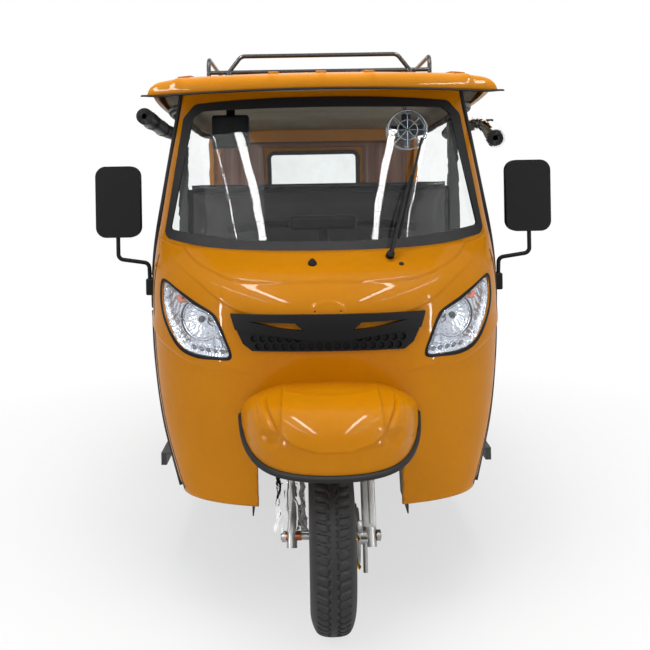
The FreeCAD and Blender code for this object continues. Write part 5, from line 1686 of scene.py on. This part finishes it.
# fork: box sleeve on the right leg, film left on the left one, copper axle ends and brass bolts
forkSet = {
    "axleY": -1.165,
    "axleZ": 0.2725,
    "lean": 22.0,
    "sleeve": (0.0965, 0.1390, 0.302, 0.470),
    "sleeveDeep": 0.023,
    "filmSpan": (0.285, 0.470),
    "filmRadius": 0.043,
    "filmSide": -0.122,
    "bolts": [(0.0745, -1.256, 0.305), (0.0770, -1.252, 0.219)],
    "plate": ((0.066, -1.250, 0.318), (0.092, -1.246, 0.352)),
    "rod": ((0.0755, -1.251, 0.312), (0.077, -1.249, 0.225)),
    "axleEnds": (0.090, 0.118, 0.143),
    "stem": (1.090, 1.130, 1.199),
    "stemBehind": 0.043,
    "corner": 0.006,
}


def legY(z):
    return forkSet["axleY"] + (z - forkSet["axleZ"]) * math.tan(math.radians(forkSet["lean"]))


def buildSleeve():
    left, right, low, high = forkSet["sleeve"]
    deep, r = forkSet["sleeveDeep"], forkSet["corner"]
    middle = (left + right) / 2
    outline = []
    for cx, cy, start in ((right - r, deep - r, 0), (left + r, deep - r, 90), (left + r, r - deep, 180),
                          (right - r, r - deep, 270)):
        turns = [math.radians(start + a) for a in (0, 22, 45, 68, 90)]
        outline += [(cx + r * math.cos(a), cy + r * math.sin(a)) for a in turns]
    levels = [(low, 0.97), (low + 0.003, 1.0), (low + 0.012, 1.0), (high - 0.03, 1.0), (high, 1.06)]
    verts = [Vector((middle + (x - middle) * grow, legY(z) + y * grow, z))
             for z, grow in levels for x, y in outline]
    n = len(outline)
    faces = bandFaces(len(levels), n, ring=True)
    faces += [tuple(range(n - 1, -1, -1)), tuple(range((len(levels) - 1) * n, len(levels) * n))]
    ridge = [Vector((middle + 0.004, legY(z) - deep - 0.0015, z)) for z in (low + 0.01, high - 0.01)]
    return joined([(verts, faces), tubeParts(ridge, 0.0045, 10)])


makePiece("forkSleeve", buildSleeve(), "silver", "steering", sharp=35)


def buildLegFilm():
    low, high = forkSet["filmSpan"]
    heights = [low + (high - low) * k / 40 for k in range(41)]
    path = [Vector((forkSet["filmSide"], legY(z) - 0.004, z)) for z in heights]

    def crumple(u, t):
        a = 2 * math.pi * 1.03 * u
        q = Vector((math.cos(a) * 2.2, math.sin(a) * 2.2, t * 5))
        fold = 1 - abs(noise.noise(q)) * 2
        flare = 0.007 * math.exp(-((t - 0.05) / 0.12) ** 2)
        return forkSet["filmRadius"] + 0.009 * noise.noise(q * 1.7) + 0.004 * fold ** 5 + flare, a
    return rollSheet(path, 72, crumple)


legFilm = makePiece("forkFilm", buildLegFilm(), "film", "steering")


def boltParts(centre, radius, depth, sides=6):
    verts = [centre + Vector((radius * math.cos(a), y, radius * math.sin(a)))
             for y in (0, -depth) for a in circle(sides)]
    ends = [tuple(range(sides)), tuple(range(2 * sides - 1, sides - 1, -1))]
    return verts, bandFaces(2, sides, ring=True) + ends


def axleEnd(sign):
    line = [Vector((sign * x, forkSet["axleY"], forkSet["axleZ"])) for x in forkSet["axleEnds"]]
    return tubeParts(line, 0.0118, 18)


makePiece("axleSleeves", joined([axleEnd(1), axleEnd(-1)]), "copper", "steering", sharp=40)
makePiece("brakeBolts", joined([boltParts(Vector(p), 0.0085, 0.006) for p in forkSet["bolts"]]), "brass", "steering")
rod = tubeParts([Vector(p) for p in forkSet["rod"]], 0.0042, 8)
makePiece("brakePlate", joined([boxParts(*forkSet["plate"]), rod]), "silver", "steering")
stem = [Vector((0, legY(z) + forkSet["stemBehind"], z)) for z in forkSet["stem"]]
makePiece("stemCover", tubeParts(stem, 0.0228, 24), "blackPlastic", "steering", sharp=40)
print("fork details built")


# floor: takes the object's shadow near it and runs out to the background's white
floorSet = {"half": 14.0, "colour": (0.9, 0.9, 0.9, 1), "roughness": 0.9, "near": (0.9, 0.62), "far": (2.6, 1.0)}


def buildFloor():
    half = floorSet["half"]
    verts = [(-half, -half, 0), (half, -half, 0), (half, half, 0), (-half, half, 0)]
    mesh = bpy.data.meshes.new("studioFloor")
    mesh.from_pydata(verts, [], [(0, 1, 2, 3)])
    floor = bpy.data.objects.new("studioFloor", mesh)
    scene.collection.objects.link(floor)
    material = bpy.data.materials.new("studioFloor")
    material.use_nodes = True
    tree = material.node_tree
    shader = tree.nodes["Principled BSDF"]
    shader.inputs["Base Color"].default_value = floorSet["colour"]
    shader.inputs["Roughness"].default_value = floorSet["roughness"]
    out = tree.nodes["Material Output"]
    coords = addNode(tree, "ShaderNodeTexCoord")
    reach = addNode(tree, "ShaderNodeVectorMath", operation="LENGTH")
    tree.links.new(coords.outputs["Object"], reach.inputs[0])
    (near, nearWhite), (away, awayWhite) = floorSet["near"], floorSet["far"]
    far = rangeNode(tree, reach.outputs["Value"], near, away, nearWhite, awayWhite)
    shown = mathNode(tree, "MULTIPLY", far, shownRays(tree))
    mixShaders(tree, shown, shader.outputs[0], addNode(tree, "ShaderNodeEmission").outputs[0], out)
    mesh.materials.append(material)


buildFloor()
